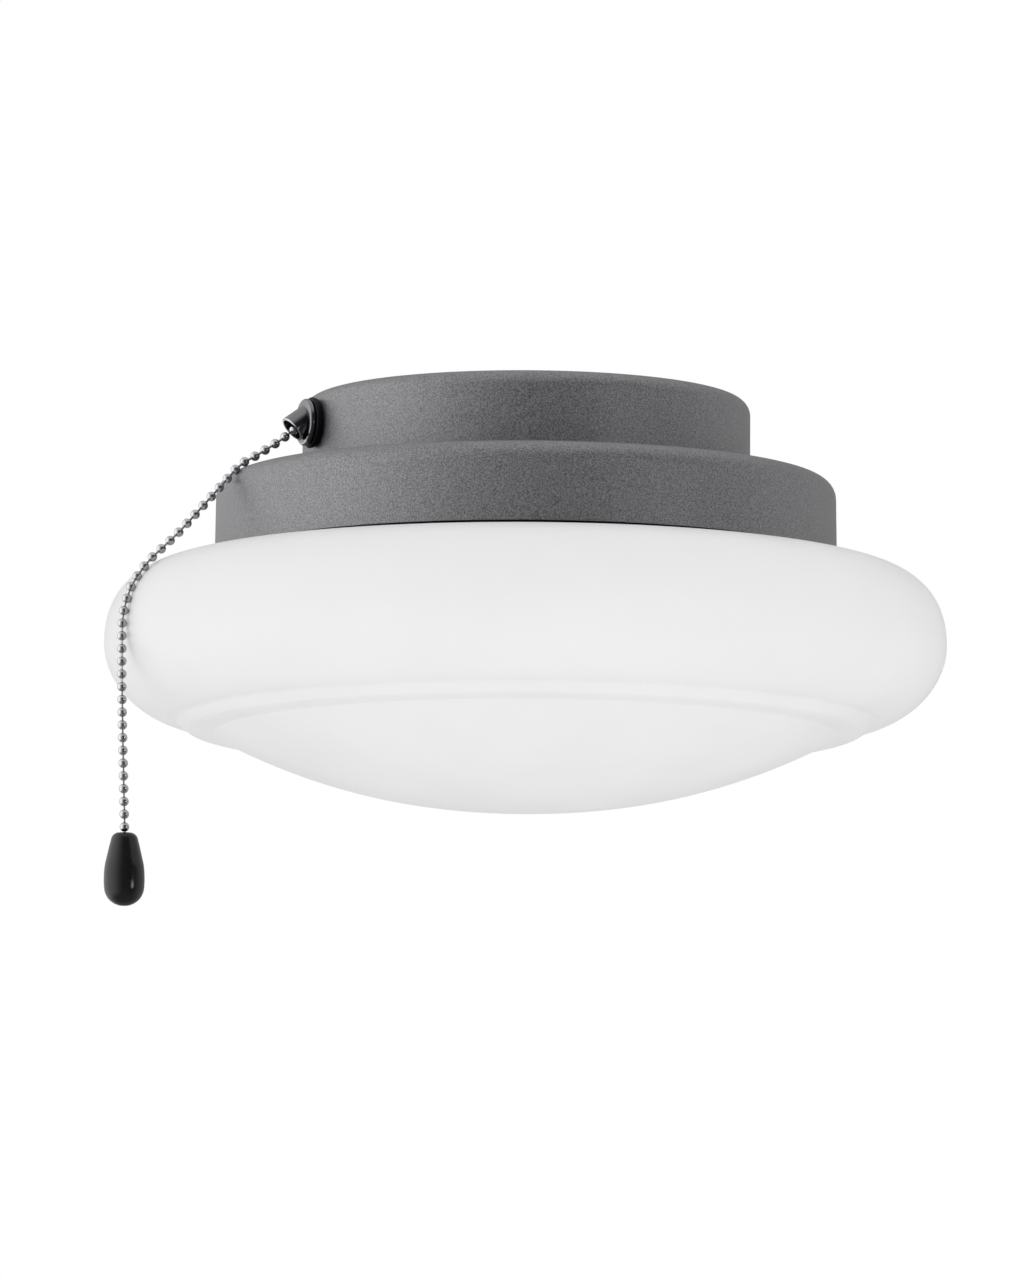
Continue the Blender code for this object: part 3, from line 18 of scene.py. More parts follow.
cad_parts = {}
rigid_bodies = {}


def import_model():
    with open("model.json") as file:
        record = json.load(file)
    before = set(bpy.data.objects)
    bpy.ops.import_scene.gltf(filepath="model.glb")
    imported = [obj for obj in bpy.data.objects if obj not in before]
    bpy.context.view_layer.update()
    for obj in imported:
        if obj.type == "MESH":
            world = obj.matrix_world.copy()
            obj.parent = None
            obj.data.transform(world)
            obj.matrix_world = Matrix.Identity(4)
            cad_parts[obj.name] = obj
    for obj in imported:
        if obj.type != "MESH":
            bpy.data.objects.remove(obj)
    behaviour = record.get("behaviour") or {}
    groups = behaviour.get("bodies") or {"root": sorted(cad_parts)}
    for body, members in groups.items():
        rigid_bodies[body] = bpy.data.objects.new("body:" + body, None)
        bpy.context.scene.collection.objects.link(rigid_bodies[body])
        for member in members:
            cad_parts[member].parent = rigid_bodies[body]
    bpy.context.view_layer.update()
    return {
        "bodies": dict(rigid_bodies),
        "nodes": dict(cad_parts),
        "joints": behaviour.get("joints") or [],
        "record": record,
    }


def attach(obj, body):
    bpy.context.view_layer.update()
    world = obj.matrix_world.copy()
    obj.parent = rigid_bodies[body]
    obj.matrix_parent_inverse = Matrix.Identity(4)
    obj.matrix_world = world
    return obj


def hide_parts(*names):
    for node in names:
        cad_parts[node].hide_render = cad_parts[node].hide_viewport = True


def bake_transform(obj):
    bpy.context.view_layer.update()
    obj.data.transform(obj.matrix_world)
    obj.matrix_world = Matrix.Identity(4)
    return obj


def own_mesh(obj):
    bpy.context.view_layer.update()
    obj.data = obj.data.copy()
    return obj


LOG = logging.getLogger("light_kit")

# Where the switch's axis leaves the upper tier's wall, the gap between seated pieces, and the steel's gauge
SWITCH_ANGLE = math.radians(201)
SWITCH_DEPTH = 0.0117
UPPER_RADIUS = 0.0745
SEAT_GAP = 0.0003
SHEET = 0.001

# How finely the pieces are made
TURN_STEPS = 192
SMALL_TURN_STEPS = 64
ROD_SIDES = 32
SHOULDER_STEPS = 14
FILLET_STEPS = 5
FILLET_SHARE = 0.49
SHARP_ANGLE = math.radians(38)
ON_AXIS = 1e-6
POLE_MERGE = 2e-6
CUT_MERGE = 1e-7
CUT_OVERRUN = 0.001

# What the finishes share, and the photograph's height in pixels
GRAIN_DETAIL = 3.0
GRAIN_ROUGHNESS = 0.55
COAT_ROUGHNESS = 0.06
LEAST_ROUGHNESS = 0.02
IMAGE_HEIGHT = 1280

Outline = list[tuple[float, float]]


# Helpers for shapes


def in_plane(radius: float, height: float) -> Vector:
    return Vector((radius * math.cos(SWITCH_ANGLE), radius * math.sin(SWITCH_ANGLE), height))


def switch_frame() -> Matrix:
    """Gives the frame of the switch: its origin on the wall, and +X along the nozzle's axis, outwards."""
    return Matrix.Translation(in_plane(UPPER_RADIUS, -SWITCH_DEPTH)) @ Matrix.Rotation(SWITCH_ANGLE, 4, "Z")


def rounded(points: Sequence[tuple[float, ...]], steps: int = FILLET_STEPS) -> Outline:
    """Rounds the corners of a line.

    Args:
        points: Points as (radius, height), or (radius, height, fillet) where the corner is rounded.
        steps: Steps along each rounded corner.

    Returns:
        The line with its corners rounded.
    """
    line: Outline = []
    for index, point in enumerate(points):
        fillet = point[2] if len(point) > 2 else 0.0
        if not fillet or index in (0, len(points) - 1):
            line.append((point[0], point[1]))
            continue
        corner = Vector(point[:2])
        back = Vector(points[index - 1][:2]) - corner
        ahead = Vector(points[index + 1][:2]) - corner
        half = back.angle(ahead) / 2
        reach = min(fillet / math.tan(half), FILLET_SHARE * back.length, FILLET_SHARE * ahead.length)
        middle = corner + (back.normalized() + ahead.normalized()).normalized() * reach / math.cos(half)
        first = corner + back.normalized() * reach - middle
        last = corner + ahead.normalized() * reach - middle
        for step in range(steps + 1):
            swung = middle + first.normalized().slerp(last.normalized(), step / steps) * first.length
            line.append((swung.x, swung.y))
    return line


def inner_line(outline: Outline, thickness: float) -> Outline:
    """Gives the inside of a wall whose outside runs outwards over the top and then down.

    Args:
        outline: The wall's outer line.
        thickness: The wall's thickness.

    Returns:
        The inner line, in the same order.
    """
    line: Outline = []
    for index, point in enumerate(outline):
        before = Vector(outline[max(index - 1, 0)])
        after = Vector(outline[min(index + 1, len(outline) - 1)])
        along = (after - before).normalized()
        place = Vector(point) + Vector((along.y, -along.x)) * thickness
        line.append((max(place.x, 0.0) if point[0] > ON_AXIS else 0.0, place.y))
    return line


def smooth_line(anchors: Sequence[Vector], samples: int) -> list[Vector]:
    """Gives a smooth line through every anchor but the first and the last, which only steer it.

    Args:
        anchors: The anchors.
        samples: Points on the line for each anchor.

    Returns:
        The line's points.
    """
    line: list[Vector] = []
    for before, start, end, after in zip(anchors, anchors[1:], anchors[2:], anchors[3:]):
        for sample in range(samples):
            t = sample / samples
            bend = (2 * before - 5 * start + 4 * end - after) * t * t
            close = (3 * start - before - 3 * end + after) * t * t * t
            line.append(0.5 * (2 * start + (end - before) * t + bend + close))
    line.append(anchors[-2])
    return line


def spun(outline: Outline, steps: int = TURN_STEPS, closed: bool = False) -> bmesh.types.BMesh:
    """Turns a line about the vertical axis.

    Args:
        outline: Points as (radius, height).
        steps: Steps round the full turn.
        closed: Whether the line's ends join, as in a ring's section.

    Returns:
        The turned shape, with outward normals.
    """
    shape = bmesh.new()
    rim = [shape.verts.new((radius, 0.0, height)) for radius, height in outline]
    pairs = list(zip(rim, rim[1:]))
    if closed:
        pairs.append((rim[-1], rim[0]))
    for first, second in pairs:
        shape.edges.new((first, second))
    bmesh.ops.spin(
        shape, geom=shape.verts[:] + shape.edges[:], cent=(0.0, 0.0, 0.0), axis=(0.0, 0.0, 1.0),
        angle=2 * math.pi, steps=steps, use_merge=True, use_duplicate=False,
    )
    bmesh.ops.remove_doubles(shape, verts=shape.verts[:], dist=POLE_MERGE)
    bmesh.ops.recalc_face_normals(shape, faces=shape.faces[:])
    return shape


def rod(
    start: Vector, end: Vector, radius: float, end_radius: float | None = None, sides: int = ROD_SIDES,
) -> bmesh.types.BMesh:
    """Makes a round rod or cone between two points.

    Args:
        start: Middle of its first end.
        end: Middle of its other end.
        radius: Radius at the start.
        end_radius: Radius at the end, where it differs.
        sides: Sides round it.

    Returns:
        The rod.
    """
    shape = bmesh.new()
    along = end - start
    place = Matrix.Translation((start + end) / 2) @ along.to_track_quat("Z", "Y").to_matrix().to_4x4()
    bmesh.ops.create_cone(
        shape, cap_ends=True, segments=sides, radius1=radius,
        radius2=radius if end_radius is None else end_radius, depth=along.length, matrix=place,
    )
    return shape


def joined(shapes: Iterable[bmesh.types.BMesh]) -> bmesh.types.BMesh:
    """Puts several shapes into one and frees them.

    Args:
        shapes: The shapes.

    Returns:
        One shape with all of them.
    """
    whole = bmesh.new()
    for shape in shapes:
        mesh = bpy.data.meshes.new("part")
        shape.to_mesh(mesh)
        shape.free()
        whole.from_mesh(mesh)
        bpy.data.meshes.remove(mesh)
    return whole


def mark_creases(mesh: bpy.types.Mesh) -> None:
    """Shades a mesh smooth, with its real edges kept sharp."""
    mesh.shade_smooth()
    mesh.set_sharp_from_angle(angle=SHARP_ANGLE)


def mesh_object(name: str, shape: bmesh.types.BMesh) -> bpy.types.Object:
    """Makes an object of a shape, with its place in its mesh.

    Args:
        name: The piece's name.
        shape: The shape, which is freed.

    Returns:
        The object.
    """
    mesh = bpy.data.meshes.new(name)
    shape.to_mesh(mesh)
    shape.free()
    mark_creases(mesh)
    piece = bpy.data.objects.new(name, mesh)
    bpy.context.scene.collection.objects.link(piece)
    return piece


def combine(piece: bpy.types.Object, shape: bmesh.types.BMesh, operation: str) -> None:
    """Adds a shape to a piece or cuts it away.

    Args:
        piece: The piece.
        shape: The shape, which is freed.
        operation: UNION or DIFFERENCE.
    """
    tool = mesh_object("tool", shape)
    modifier = piece.modifiers.new("tool", "BOOLEAN")
    modifier.operation = operation
    modifier.solver = "EXACT"
    modifier.object = tool
    settle(piece)
    bpy.data.objects.remove(tool, do_unlink=True)


def cut(piece: bpy.types.Object, cutters: Iterable[bmesh.types.BMesh]) -> None:
    """Cuts holes in a piece, one after the other, and merges the doubles that the cuts leave.

    Args:
        piece: The piece.
        cutters: Shapes of the holes, which are freed.
    """
    for cutter in cutters:
        combine(piece, cutter, "DIFFERENCE")
    shape = bmesh.new()
    shape.from_mesh(piece.data)
    bmesh.ops.remove_doubles(shape, verts=shape.verts[:], dist=CUT_MERGE)
    shape.to_mesh(piece.data)
    shape.free()
    mark_creases(piece.data)


def settle(piece: bpy.types.Object) -> None:
    """Writes a piece's modifiers into its mesh.

    Args:
        piece: The piece.
    """
    graph = bpy.context.evaluated_depsgraph_get()
    made = bpy.data.meshes.new_from_object(piece.evaluated_get(graph))
    piece.modifiers.clear()
    old = piece.data
    piece.data = made
    bpy.data.meshes.remove(old)
    made.name = piece.name
    mark_creases(made)


# Helpers for finishes


def linear(code: str) -> tuple[float, float, float, float]:
    """Turns an sRGB hex code into a linear colour.

    Args:
        code: Six hex digits after a hash sign.

    Returns:
        Red, green, blue and alpha.
    """
    parts = [int(code[place:place + 2], 16) / 255 for place in (1, 3, 5)]
    red, green, blue = (c / 12.92 if c <= 0.04045 else ((c + 0.055) / 1.055) ** 2.4 for c in parts)
    return red, green, blue, 1.0


def add_node(
    tree: bpy.types.NodeTree, kind: str, settings: Mapping[str | int, object] | None = None,
    links: Mapping[str | int, bpy.types.NodeSocket] | None = None,
) -> bpy.types.Node:
    """Adds a node with its settings and links.

    Args:
        tree: The tree of a material or world.
        kind: The node's type.
        settings: Values by input name or number, or by the node's own property; "stops" are a ramp's stops.
            A Mix node's inputs are 0 for the factor, 2 and 3 for numbers, and 6 and 7 for colours.
        links: Sockets that feed the node, by input name or number.

    Returns:
        The node.
    """
    node = tree.nodes.new(kind)
    for name, value in (settings or {}).items():
        if name == "stops":
            stops = node.color_ramp.elements
            stops.remove(stops[1])
            stops[0].position = value[0][0]
            for number, (place, level) in enumerate(value):
                stop = stops.new(place) if number else stops[0]
                stop.color = (level, level, level, 1.0)
        elif isinstance(name, int) or name in node.inputs.keys():
            node.inputs[name].default_value = value
        else:
            setattr(node, name, value)
    for name, socket in (links or {}).items():
        tree.links.new(socket, node.inputs[name])
    return node


@dataclass(frozen=True)
class Finish:
    """A surface finish: what the material is, its colour, and the grain that its making leaves.

    The grain is Noise of a size in millimetres. It drives a fine bump and small changes of gloss and tone.
    """

    name: str
    colour: str
    roughness: float
    metallic: float = 0.0
    ior: float = 1.5
    coat: float = 0.0
    grain_mm: float = 1.0
    relief_mm: float = 0.0
    roughness_spread: float = 0.05
    tone_spread: float = 0.06
    grain_spread: float = 0.2

    def material(self) -> bpy.types.Material:
        """Builds the material, the first time only.

        Returns:
            The material.
        """
        made = bpy.data.materials.get(self.name)
        if made is None:
            made = bpy.data.materials.new(self.name)
            made.use_nodes = True
            tree = made.node_tree
            shader = tree.nodes["Principled BSDF"]
            shader.inputs["Base Color"].default_value = linear(self.colour)
            shader.inputs["Roughness"].default_value = self.roughness
            shader.inputs["Metallic"].default_value = self.metallic
            if not self.metallic:
                shader.inputs["IOR"].default_value = self.ior
            if self.coat:
                shader.inputs["Coat Weight"].default_value = self.coat
                shader.inputs["Coat Roughness"].default_value = COAT_ROUGHNESS
            made.diffuse_color = linear(self.colour)
            made.roughness = self.roughness
            made.metallic = self.metallic
            self.texture(tree, shader)
        return made

    def texture(self, tree: bpy.types.NodeTree, shader: bpy.types.Node) -> None:
        """Adds the grain, which varies the colour, the roughness and the height of the surface.

        Args:
            tree: The material's tree.
            shader: Its Principled shader.
        """
        place = add_node(tree, "ShaderNodeTexCoord").outputs["Object"]
        grain = add_node(
            tree, "ShaderNodeTexNoise",
            {"Scale": 1000 / self.grain_mm, "Detail": GRAIN_DETAIL, "Roughness": GRAIN_ROUGHNESS},
            {"Vector": place},
        ).outputs["Fac"]
        peaks = add_node(
            tree, "ShaderNodeMapRange",
            {"From Min": 0.5 - self.grain_spread, "From Max": 0.5 + self.grain_spread}, {"Value": grain},
        ).outputs["Result"]
        dark, light = (
            (*(min(part * share, 1.0) for part in linear(self.colour)[:3]), 1.0)
            for share in (1 - self.tone_spread, 1 + self.tone_spread)
        )
        tone = add_node(tree, "ShaderNodeMix", {"data_type": "RGBA", 6: dark, 7: light}, {0: peaks})
        tree.links.new(tone.outputs[2], shader.inputs["Base Color"])
        low, high = self.roughness - self.roughness_spread, self.roughness + self.roughness_spread
        rough = add_node(
            tree, "ShaderNodeMapRange", {"To Min": max(low, LEAST_ROUGHNESS), "To Max": min(high, 1.0)},
            {"Value": peaks},
        )
        tree.links.new(rough.outputs["Result"], shader.inputs["Roughness"])
        if self.relief_mm:
            relief = add_node(
                tree, "ShaderNodeBump", {"Strength": 1.0, "Distance": self.relief_mm / 1000},
                {"Height": grain},
            )
            tree.links.new(relief.outputs["Normal"], shader.inputs["Normal"])


@dataclass(frozen=True)
class WireInsulation(Finish):
    """Extruded PVC on a lead: smooth, with the faint waves of the strands under it."""

    roughness: float = 0.4
    grain_mm: float = 2.5
    relief_mm: float = 0.02
    tone_spread: float = 0.08


class LeadColour(Enum):
    """Colours of the leads inside."""

    BLACK = "#1b1b1b"
    WHITE = "#e6e6e3"
    RED = "#b32824"


# Real grains finer than half a millimetre wouldn't show from 4 m away, so they are drawn coarser, at the
# finish's own grain_mm.

# Sand-textured powder coat over drawn steel: dark graphite with metal flake, so it shines softly and its
# grains sparkle. The real grain is about 0.2 mm.
GRAPHITE_POWDER_COAT = Finish(
    "powder_coated_steel", "#747476", 0.45, metallic=0.5, grain_mm=0.45, relief_mm=0.04,
    roughness_spread=0.07, tone_spread=0.42, grain_spread=0.12,
)
# Flashed opal glass, etched satin: milk white right through, with a soft sheen and the slow waves of blown
# glass, about 30 mm apart. The etching lowers what it mirrors, and so its IOR.
OPAL_GLASS = Finish(
    "satin_opal_glass", "#ebebeb", 0.42, ior=1.33, grain_mm=30.0, relief_mm=0.05,
    roughness_spread=0.04, tone_spread=0.01,
)
# Nickel plate on the rolled balls of the chain: a bright mirror with fine rubbed scratches.
BRIGHT_NICKEL = Finish(
    "bright_nickel_plate", "#ababae", 0.09, metallic=1.0, grain_mm=0.6, relief_mm=0.001,
    roughness_spread=0.04, tone_spread=0.04,
)
# Black nickel plate on the turned brass nozzle: a dark grey mirror.
BLACK_NICKEL = Finish(
    "black_nickel_plate", "#6f6f72", 0.12, metallic=1.0, grain_mm=0.6, relief_mm=0.001,
    roughness_spread=0.04, tone_spread=0.05,
)
# Moulded EPDM rubber with a satin skin, which takes a soft line of light.
BLACK_RUBBER = Finish(
    "moulded_rubber", "#0b0b0b", 0.5, ior=1.2, grain_mm=0.9, relief_mm=0.01,
    roughness_spread=0.08, tone_spread=0.15,
)
# Polished black phenolic knob: deep black under a clear gloss.
BLACK_GLOSS = Finish(
    "polished_black_phenolic", "#131315", 0.17, ior=1.36, grain_mm=1.6, relief_mm=0.003,
    roughness_spread=0.05, tone_spread=0.1,
)
# Bright zinc plate on pressed steel: bluish grey with a fine drawn grain.
ZINC_STEEL = Finish(
    "zinc_plated_steel", "#c2c5c9", 0.33, metallic=1.0, grain_mm=0.8, relief_mm=0.006,
    roughness_spread=0.1, tone_spread=0.1,
)
# Stoved white enamel on steel: glossy, with a faint orange peel.
WHITE_ENAMEL = Finish(
    "stoved_enamel", "#f0f0ee", 0.22, coat=0.3, grain_mm=2.2, relief_mm=0.02,
    roughness_spread=0.04, tone_spread=0.01,
)
# White solder mask on the boards: matt, with fine weave showing through.
SOLDER_MASK = Finish(
    "white_solder_mask", "#ececeb", 0.5, grain_mm=0.8, relief_mm=0.01,
    roughness_spread=0.06, tone_spread=0.03,
)
# Natural nylon, injection moulded: warm off-white with a fine spark-eroded skin.
NATURAL_NYLON = Finish(
    "moulded_nylon", "#dcd9d0", 0.45, grain_mm=0.7, relief_mm=0.012,
    roughness_spread=0.06, tone_spread=0.03,
)
# Brown phenolic, compression moulded: dark, hard and slightly mottled with its wood filler.
BROWN_PHENOLIC = Finish(
    "moulded_brown_phenolic", "#453329", 0.36, grain_mm=1.4, relief_mm=0.008,
    roughness_spread=0.08, tone_spread=0.22,
)
# Stamped cartridge brass, unlacquered: yellow metal with a rolled grain.
BRASS = Finish(
    "stamped_brass", "#d9b56a", 0.27, metallic=1.0, grain_mm=0.7, relief_mm=0.004,
    roughness_spread=0.08, tone_spread=0.1,
)
# Hardened spring steel, tumbled bright: a silver grey with soft highlights.
SPRING_STEEL = Finish(
    "bright_spring_steel", "#b9babd", 0.25, metallic=1.0, grain_mm=0.6, relief_mm=0.003,
    roughness_spread=0.08, tone_spread=0.08,
)
SLOT_FINISHES: dict[str, Finish] = {
    "graphite_powder_coat": GRAPHITE_POWDER_COAT,
    "opal_glass": OPAL_GLASS,
    "dark_nickel": BRIGHT_NICKEL,
    "black_rubber": BLACK_RUBBER,
    "black_gloss_plastic": BLACK_GLOSS,
    "zinc_steel": ZINC_STEEL,
    "white_enamel": WHITE_ENAMEL,
    "board_white": SOLDER_MASK,
    "natural_plastic": NATURAL_NYLON,
    "brown_phenolic": BROWN_PHENOLIC,
    "brass": BRASS,
    "spring_steel": SPRING_STEEL,
    "black_wire": WireInsulation("black_pvc", LeadColour.BLACK.value),
    "white_wire": WireInsulation("white_pvc", LeadColour.WHITE.value),
    "red_wire": WireInsulation("red_pvc", LeadColour.RED.value),
}


def place_piece(
    piece: bpy.types.Object, body: str, slot: str, *nodes: str, finish: Finish | None = None,
    stretch: tuple[Vector, Vector] | None = None,
) -> None:
    """Dresses a new piece and seats it on its body, or, for a limp piece, writes its place into its mesh
    instead.

    Args:
        piece: The piece.
        body: The CAD body it moves with.
        slot: The record's material slot.
        nodes: CAD nodes that it stands for.
        finish: Its finish, where it isn't the slot's usual one.
        stretch: For a limp piece held by the housing. When given, the piece isn't seated on the body and its
            place is written into its mesh; the two points aren't used.
    """
    piece.data.materials.clear()
    piece.data.materials.append((finish or SLOT_FINISHES[slot]).material())
    if stretch:
        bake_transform(piece)
    else:
        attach(piece, body)
    if nodes:
        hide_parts(*nodes)
    LOG.info("%s: %d faces on %s", piece.name, len(piece.data.polygons), body)


# Camera and light


@dataclass
class StudioCamera:
    aim: tuple[float, float, float] = (0.0, 0.0, -0.075)
    elevation: float = math.radians(7.05)
    distance: float = 4.0
    right_offset: float = -0.0048
    up_offset: float = -0.00538
    roll: float = math.radians(0.27)
    focal_pixels: float = 12040.0
    sensor: float = 36.0

    def build(self) -> None:
        """Makes the camera and sets it as the scene's."""
        ahead = Vector((0.0, math.cos(self.elevation), math.sin(self.elevation)))
        up = Vector((0.0, -math.sin(self.elevation), math.cos(self.elevation)))
        right = Vector((1.0, 0.0, 0.0))
        place = Vector(self.aim) - self.distance * ahead + self.right_offset * right + self.up_offset * up
        rolled_right = right * math.cos(self.roll) + up * math.sin(self.roll)
        rolled_up = up * math.cos(self.roll) - right * math.sin(self.roll)
        data = bpy.data.cameras.new("studio_camera")
        data.sensor_width = self.sensor
        data.lens = self.sensor * self.focal_pixels / IMAGE_HEIGHT
        camera = bpy.data.objects.new("studio_camera", data)
        bpy.context.scene.collection.objects.link(camera)
        turn = Matrix((rolled_right, rolled_up, -ahead)).transposed()
        camera.matrix_world = Matrix.Translation(place) @ turn.to_4x4()
        bpy.context.scene.camera = camera


@dataclass
class StudioLight:
    """A white studio: even light all round, soft boxes that only glossy surfaces show, and a pale floor.

    The band gives what a mirror shows at each bearing in degrees, from the camera's side at 0, with the left
    side negative. The rises are the heights of a direction, from -1 to 1, between which the band gives way.
    """

    even_level: float = 0.96
    even_lean: tuple[float, float, float] = (0.0, -0.08, -0.11)
    peak_level: float = 5.0
    floor_height: float = -0.75
    floor_radius: float = 1.4
    floor_sides: int = 128
    floor_colour: str = "#f4f4f4"
    floor_roughness: float = 0.9
    level_band: tuple[tuple[float, float], ...] = (
        (-180, 0.35), (-165, 0.4), (-150, 0.9), (-138, 1.1), (-124, 1.65), (-110, 2.0), (-95, 2.2),
        (-76, 2.28), (-63, 1.98), (-52, 1.65), (-40, 1.14), (-30, 0.75), (-19, 0.42), (-9, 0.22), (0, 0.12),
        (22, 0.1), (44, 0.04), (67, 0.22), (94, 0.75), (120, 0.78), (140, 0.6), (160, 0.4), (180, 0.35),
    )
    top_level: float = 1.1
    top_rise: tuple[float, float] = (0.52, 0.97)
    under_level: float = 0.3
    under_rise: tuple[float, float] = (-0.35, -0.9)
    spot_level: float = 8.0
    spot_bearing: float = math.radians(50)
    spot_height: float = math.radians(-4)
    spot_core: float = math.radians(1)
    spot_edge: float = math.radians(9)

    def build(self) -> None:
        """Builds the world and the floor."""
        self.build_world()
        self.build_floor()

    def build_world(self) -> None:
        """Sets the world: white to the camera, even to matt surfaces, soft boxes to glossy ones."""
        world = bpy.data.worlds.new("studio")
        bpy.context.scene.world = world
        world.use_nodes = True
        world.cycles.sampling_method = "NONE"
        tree = world.node_tree
        tree.nodes.clear()
        direction = add_node(tree, "ShaderNodeTexCoord").outputs["Generated"]
        parts = add_node(tree, "ShaderNodeSeparateXYZ", links={"Vector": direction})
        front = add_node(
            tree, "ShaderNodeMath", {"operation": "MULTIPLY", 1: -1.0}, {0: parts.outputs["Y"]},
        ).outputs["Value"]
        bearing = add_node(
            tree, "ShaderNodeMath", {"operation": "ARCTAN2"}, {0: parts.outputs["X"], 1: front},
        ).outputs["Value"]
        turn = add_node(
            tree, "ShaderNodeMapRange", {"From Min": -math.pi, "From Max": math.pi}, {"Value": bearing},
        ).outputs["Result"]
        stops = [((degrees + 180) / 360, level / self.peak_level) for degrees, level in self.level_band]
        band = add_node(tree, "ShaderNodeValToRGB", {"stops": stops}, {"Fac": turn}).outputs["Color"]
        side = add_node(
            tree, "ShaderNodeMath", {"operation": "MULTIPLY", 1: self.peak_level}, {0: band},
        ).outputs["Value"]
        above, below = (
            add_node(
                tree, "ShaderNodeMapRange",
                {"interpolation_type": "SMOOTHSTEP", "From Min": start, "From Max": full},
                {"Value": parts.outputs["Z"]},
            ).outputs["Result"]
            for start, full in (self.top_rise, self.under_rise)
        )
        upper = add_node(
            tree, "ShaderNodeMix", {"data_type": "FLOAT", 3: self.top_level}, {0: above, 2: side},
        ).outputs[0]
        boxes = add_node(
            tree, "ShaderNodeMix", {"data_type": "FLOAT", 3: self.under_level}, {0: below, 2: upper},
        ).outputs[0]
        across = math.cos(self.spot_height)
        towards = (
            math.sin(self.spot_bearing) * across, -math.cos(self.spot_bearing) * across,
            math.sin(self.spot_height),
        )
        nearness = add_node(
            tree, "ShaderNodeVectorMath", {"operation": "DOT_PRODUCT", 1: towards}, {0: direction},
        ).outputs["Value"]
        spot = add_node(
            tree, "ShaderNodeMapRange",
            {
                "interpolation_type": "SMOOTHSTEP", "From Min": math.cos(self.spot_edge),
                "From Max": math.cos(self.spot_core), "To Max": self.spot_level,
            },
            {"Value": nearness},
        ).outputs["Result"]
        glossy_level = add_node(
            tree, "ShaderNodeMath", {"operation": "ADD"}, {0: boxes, 1: spot},
        ).outputs["Value"]
        lean = add_node(
            tree, "ShaderNodeVectorMath", {"operation": "DOT_PRODUCT", 1: self.even_lean}, {0: direction},
        ).outputs["Value"]
        even_level = add_node(
            tree, "ShaderNodeMath", {"operation": "ADD", 1: self.even_level}, {0: lean},
        ).outputs["Value"]
        rays = add_node(tree, "ShaderNodeLightPath")
        lit = add_node(
            tree, "ShaderNodeMix", {"data_type": "FLOAT"},
            {0: rays.outputs["Is Glossy Ray"], 2: even_level, 3: glossy_level},
        ).outputs[0]
        seen = add_node(
            tree, "ShaderNodeMath", {"operation": "MAXIMUM"},
            {0: rays.outputs["Is Camera Ray"], 1: rays.outputs["Is Transmission Ray"]},
        ).outputs["Value"]
        strength = add_node(
            tree, "ShaderNodeMix", {"data_type": "FLOAT", 3: 1.0}, {0: seen, 2: lit},
        ).outputs[0]
        white = (1.0, 1.0, 1.0, 1.0)
        background = add_node(tree, "ShaderNodeBackground", {"Color": white}, {"Strength": strength})
        add_node(tree, "ShaderNodeOutputWorld", links={"Surface": background.outputs["Background"]})

    def build_floor(self) -> None:
        """Makes the pale floor, which is seen from above only."""
        shape = bmesh.new()
        bmesh.ops.create_circle(
            shape, cap_ends=True, radius=self.floor_radius, segments=self.floor_sides,
            matrix=Matrix.Translation((0.0, 0.0, self.floor_height)),
        )
        floor = mesh_object("studio_floor", shape)
        floor.visible_glossy = False
        floor.visible_diffuse = False
        material = bpy.data.materials.new("pale_floor")
        material.use_nodes = True
        tree = material.node_tree
        shader = tree.nodes["Principled BSDF"]
        shader.inputs["Base Color"].default_value = linear(self.floor_colour)
        shader.inputs["Roughness"].default_value = self.floor_roughness
        clear = add_node(tree, "ShaderNodeBsdfTransparent")
        back = add_node(tree, "ShaderNodeNewGeometry").outputs["Backfacing"]
        mixed = add_node(
            tree, "ShaderNodeMixShader",
            links={0: back, 1: shader.outputs["BSDF"], 2: clear.outputs["BSDF"]},
        )
        tree.links.new(mixed.outputs["Shader"], tree.nodes["Material Output"].inputs["Surface"])
        floor.data.materials.append(material)


# Pull chain and knob


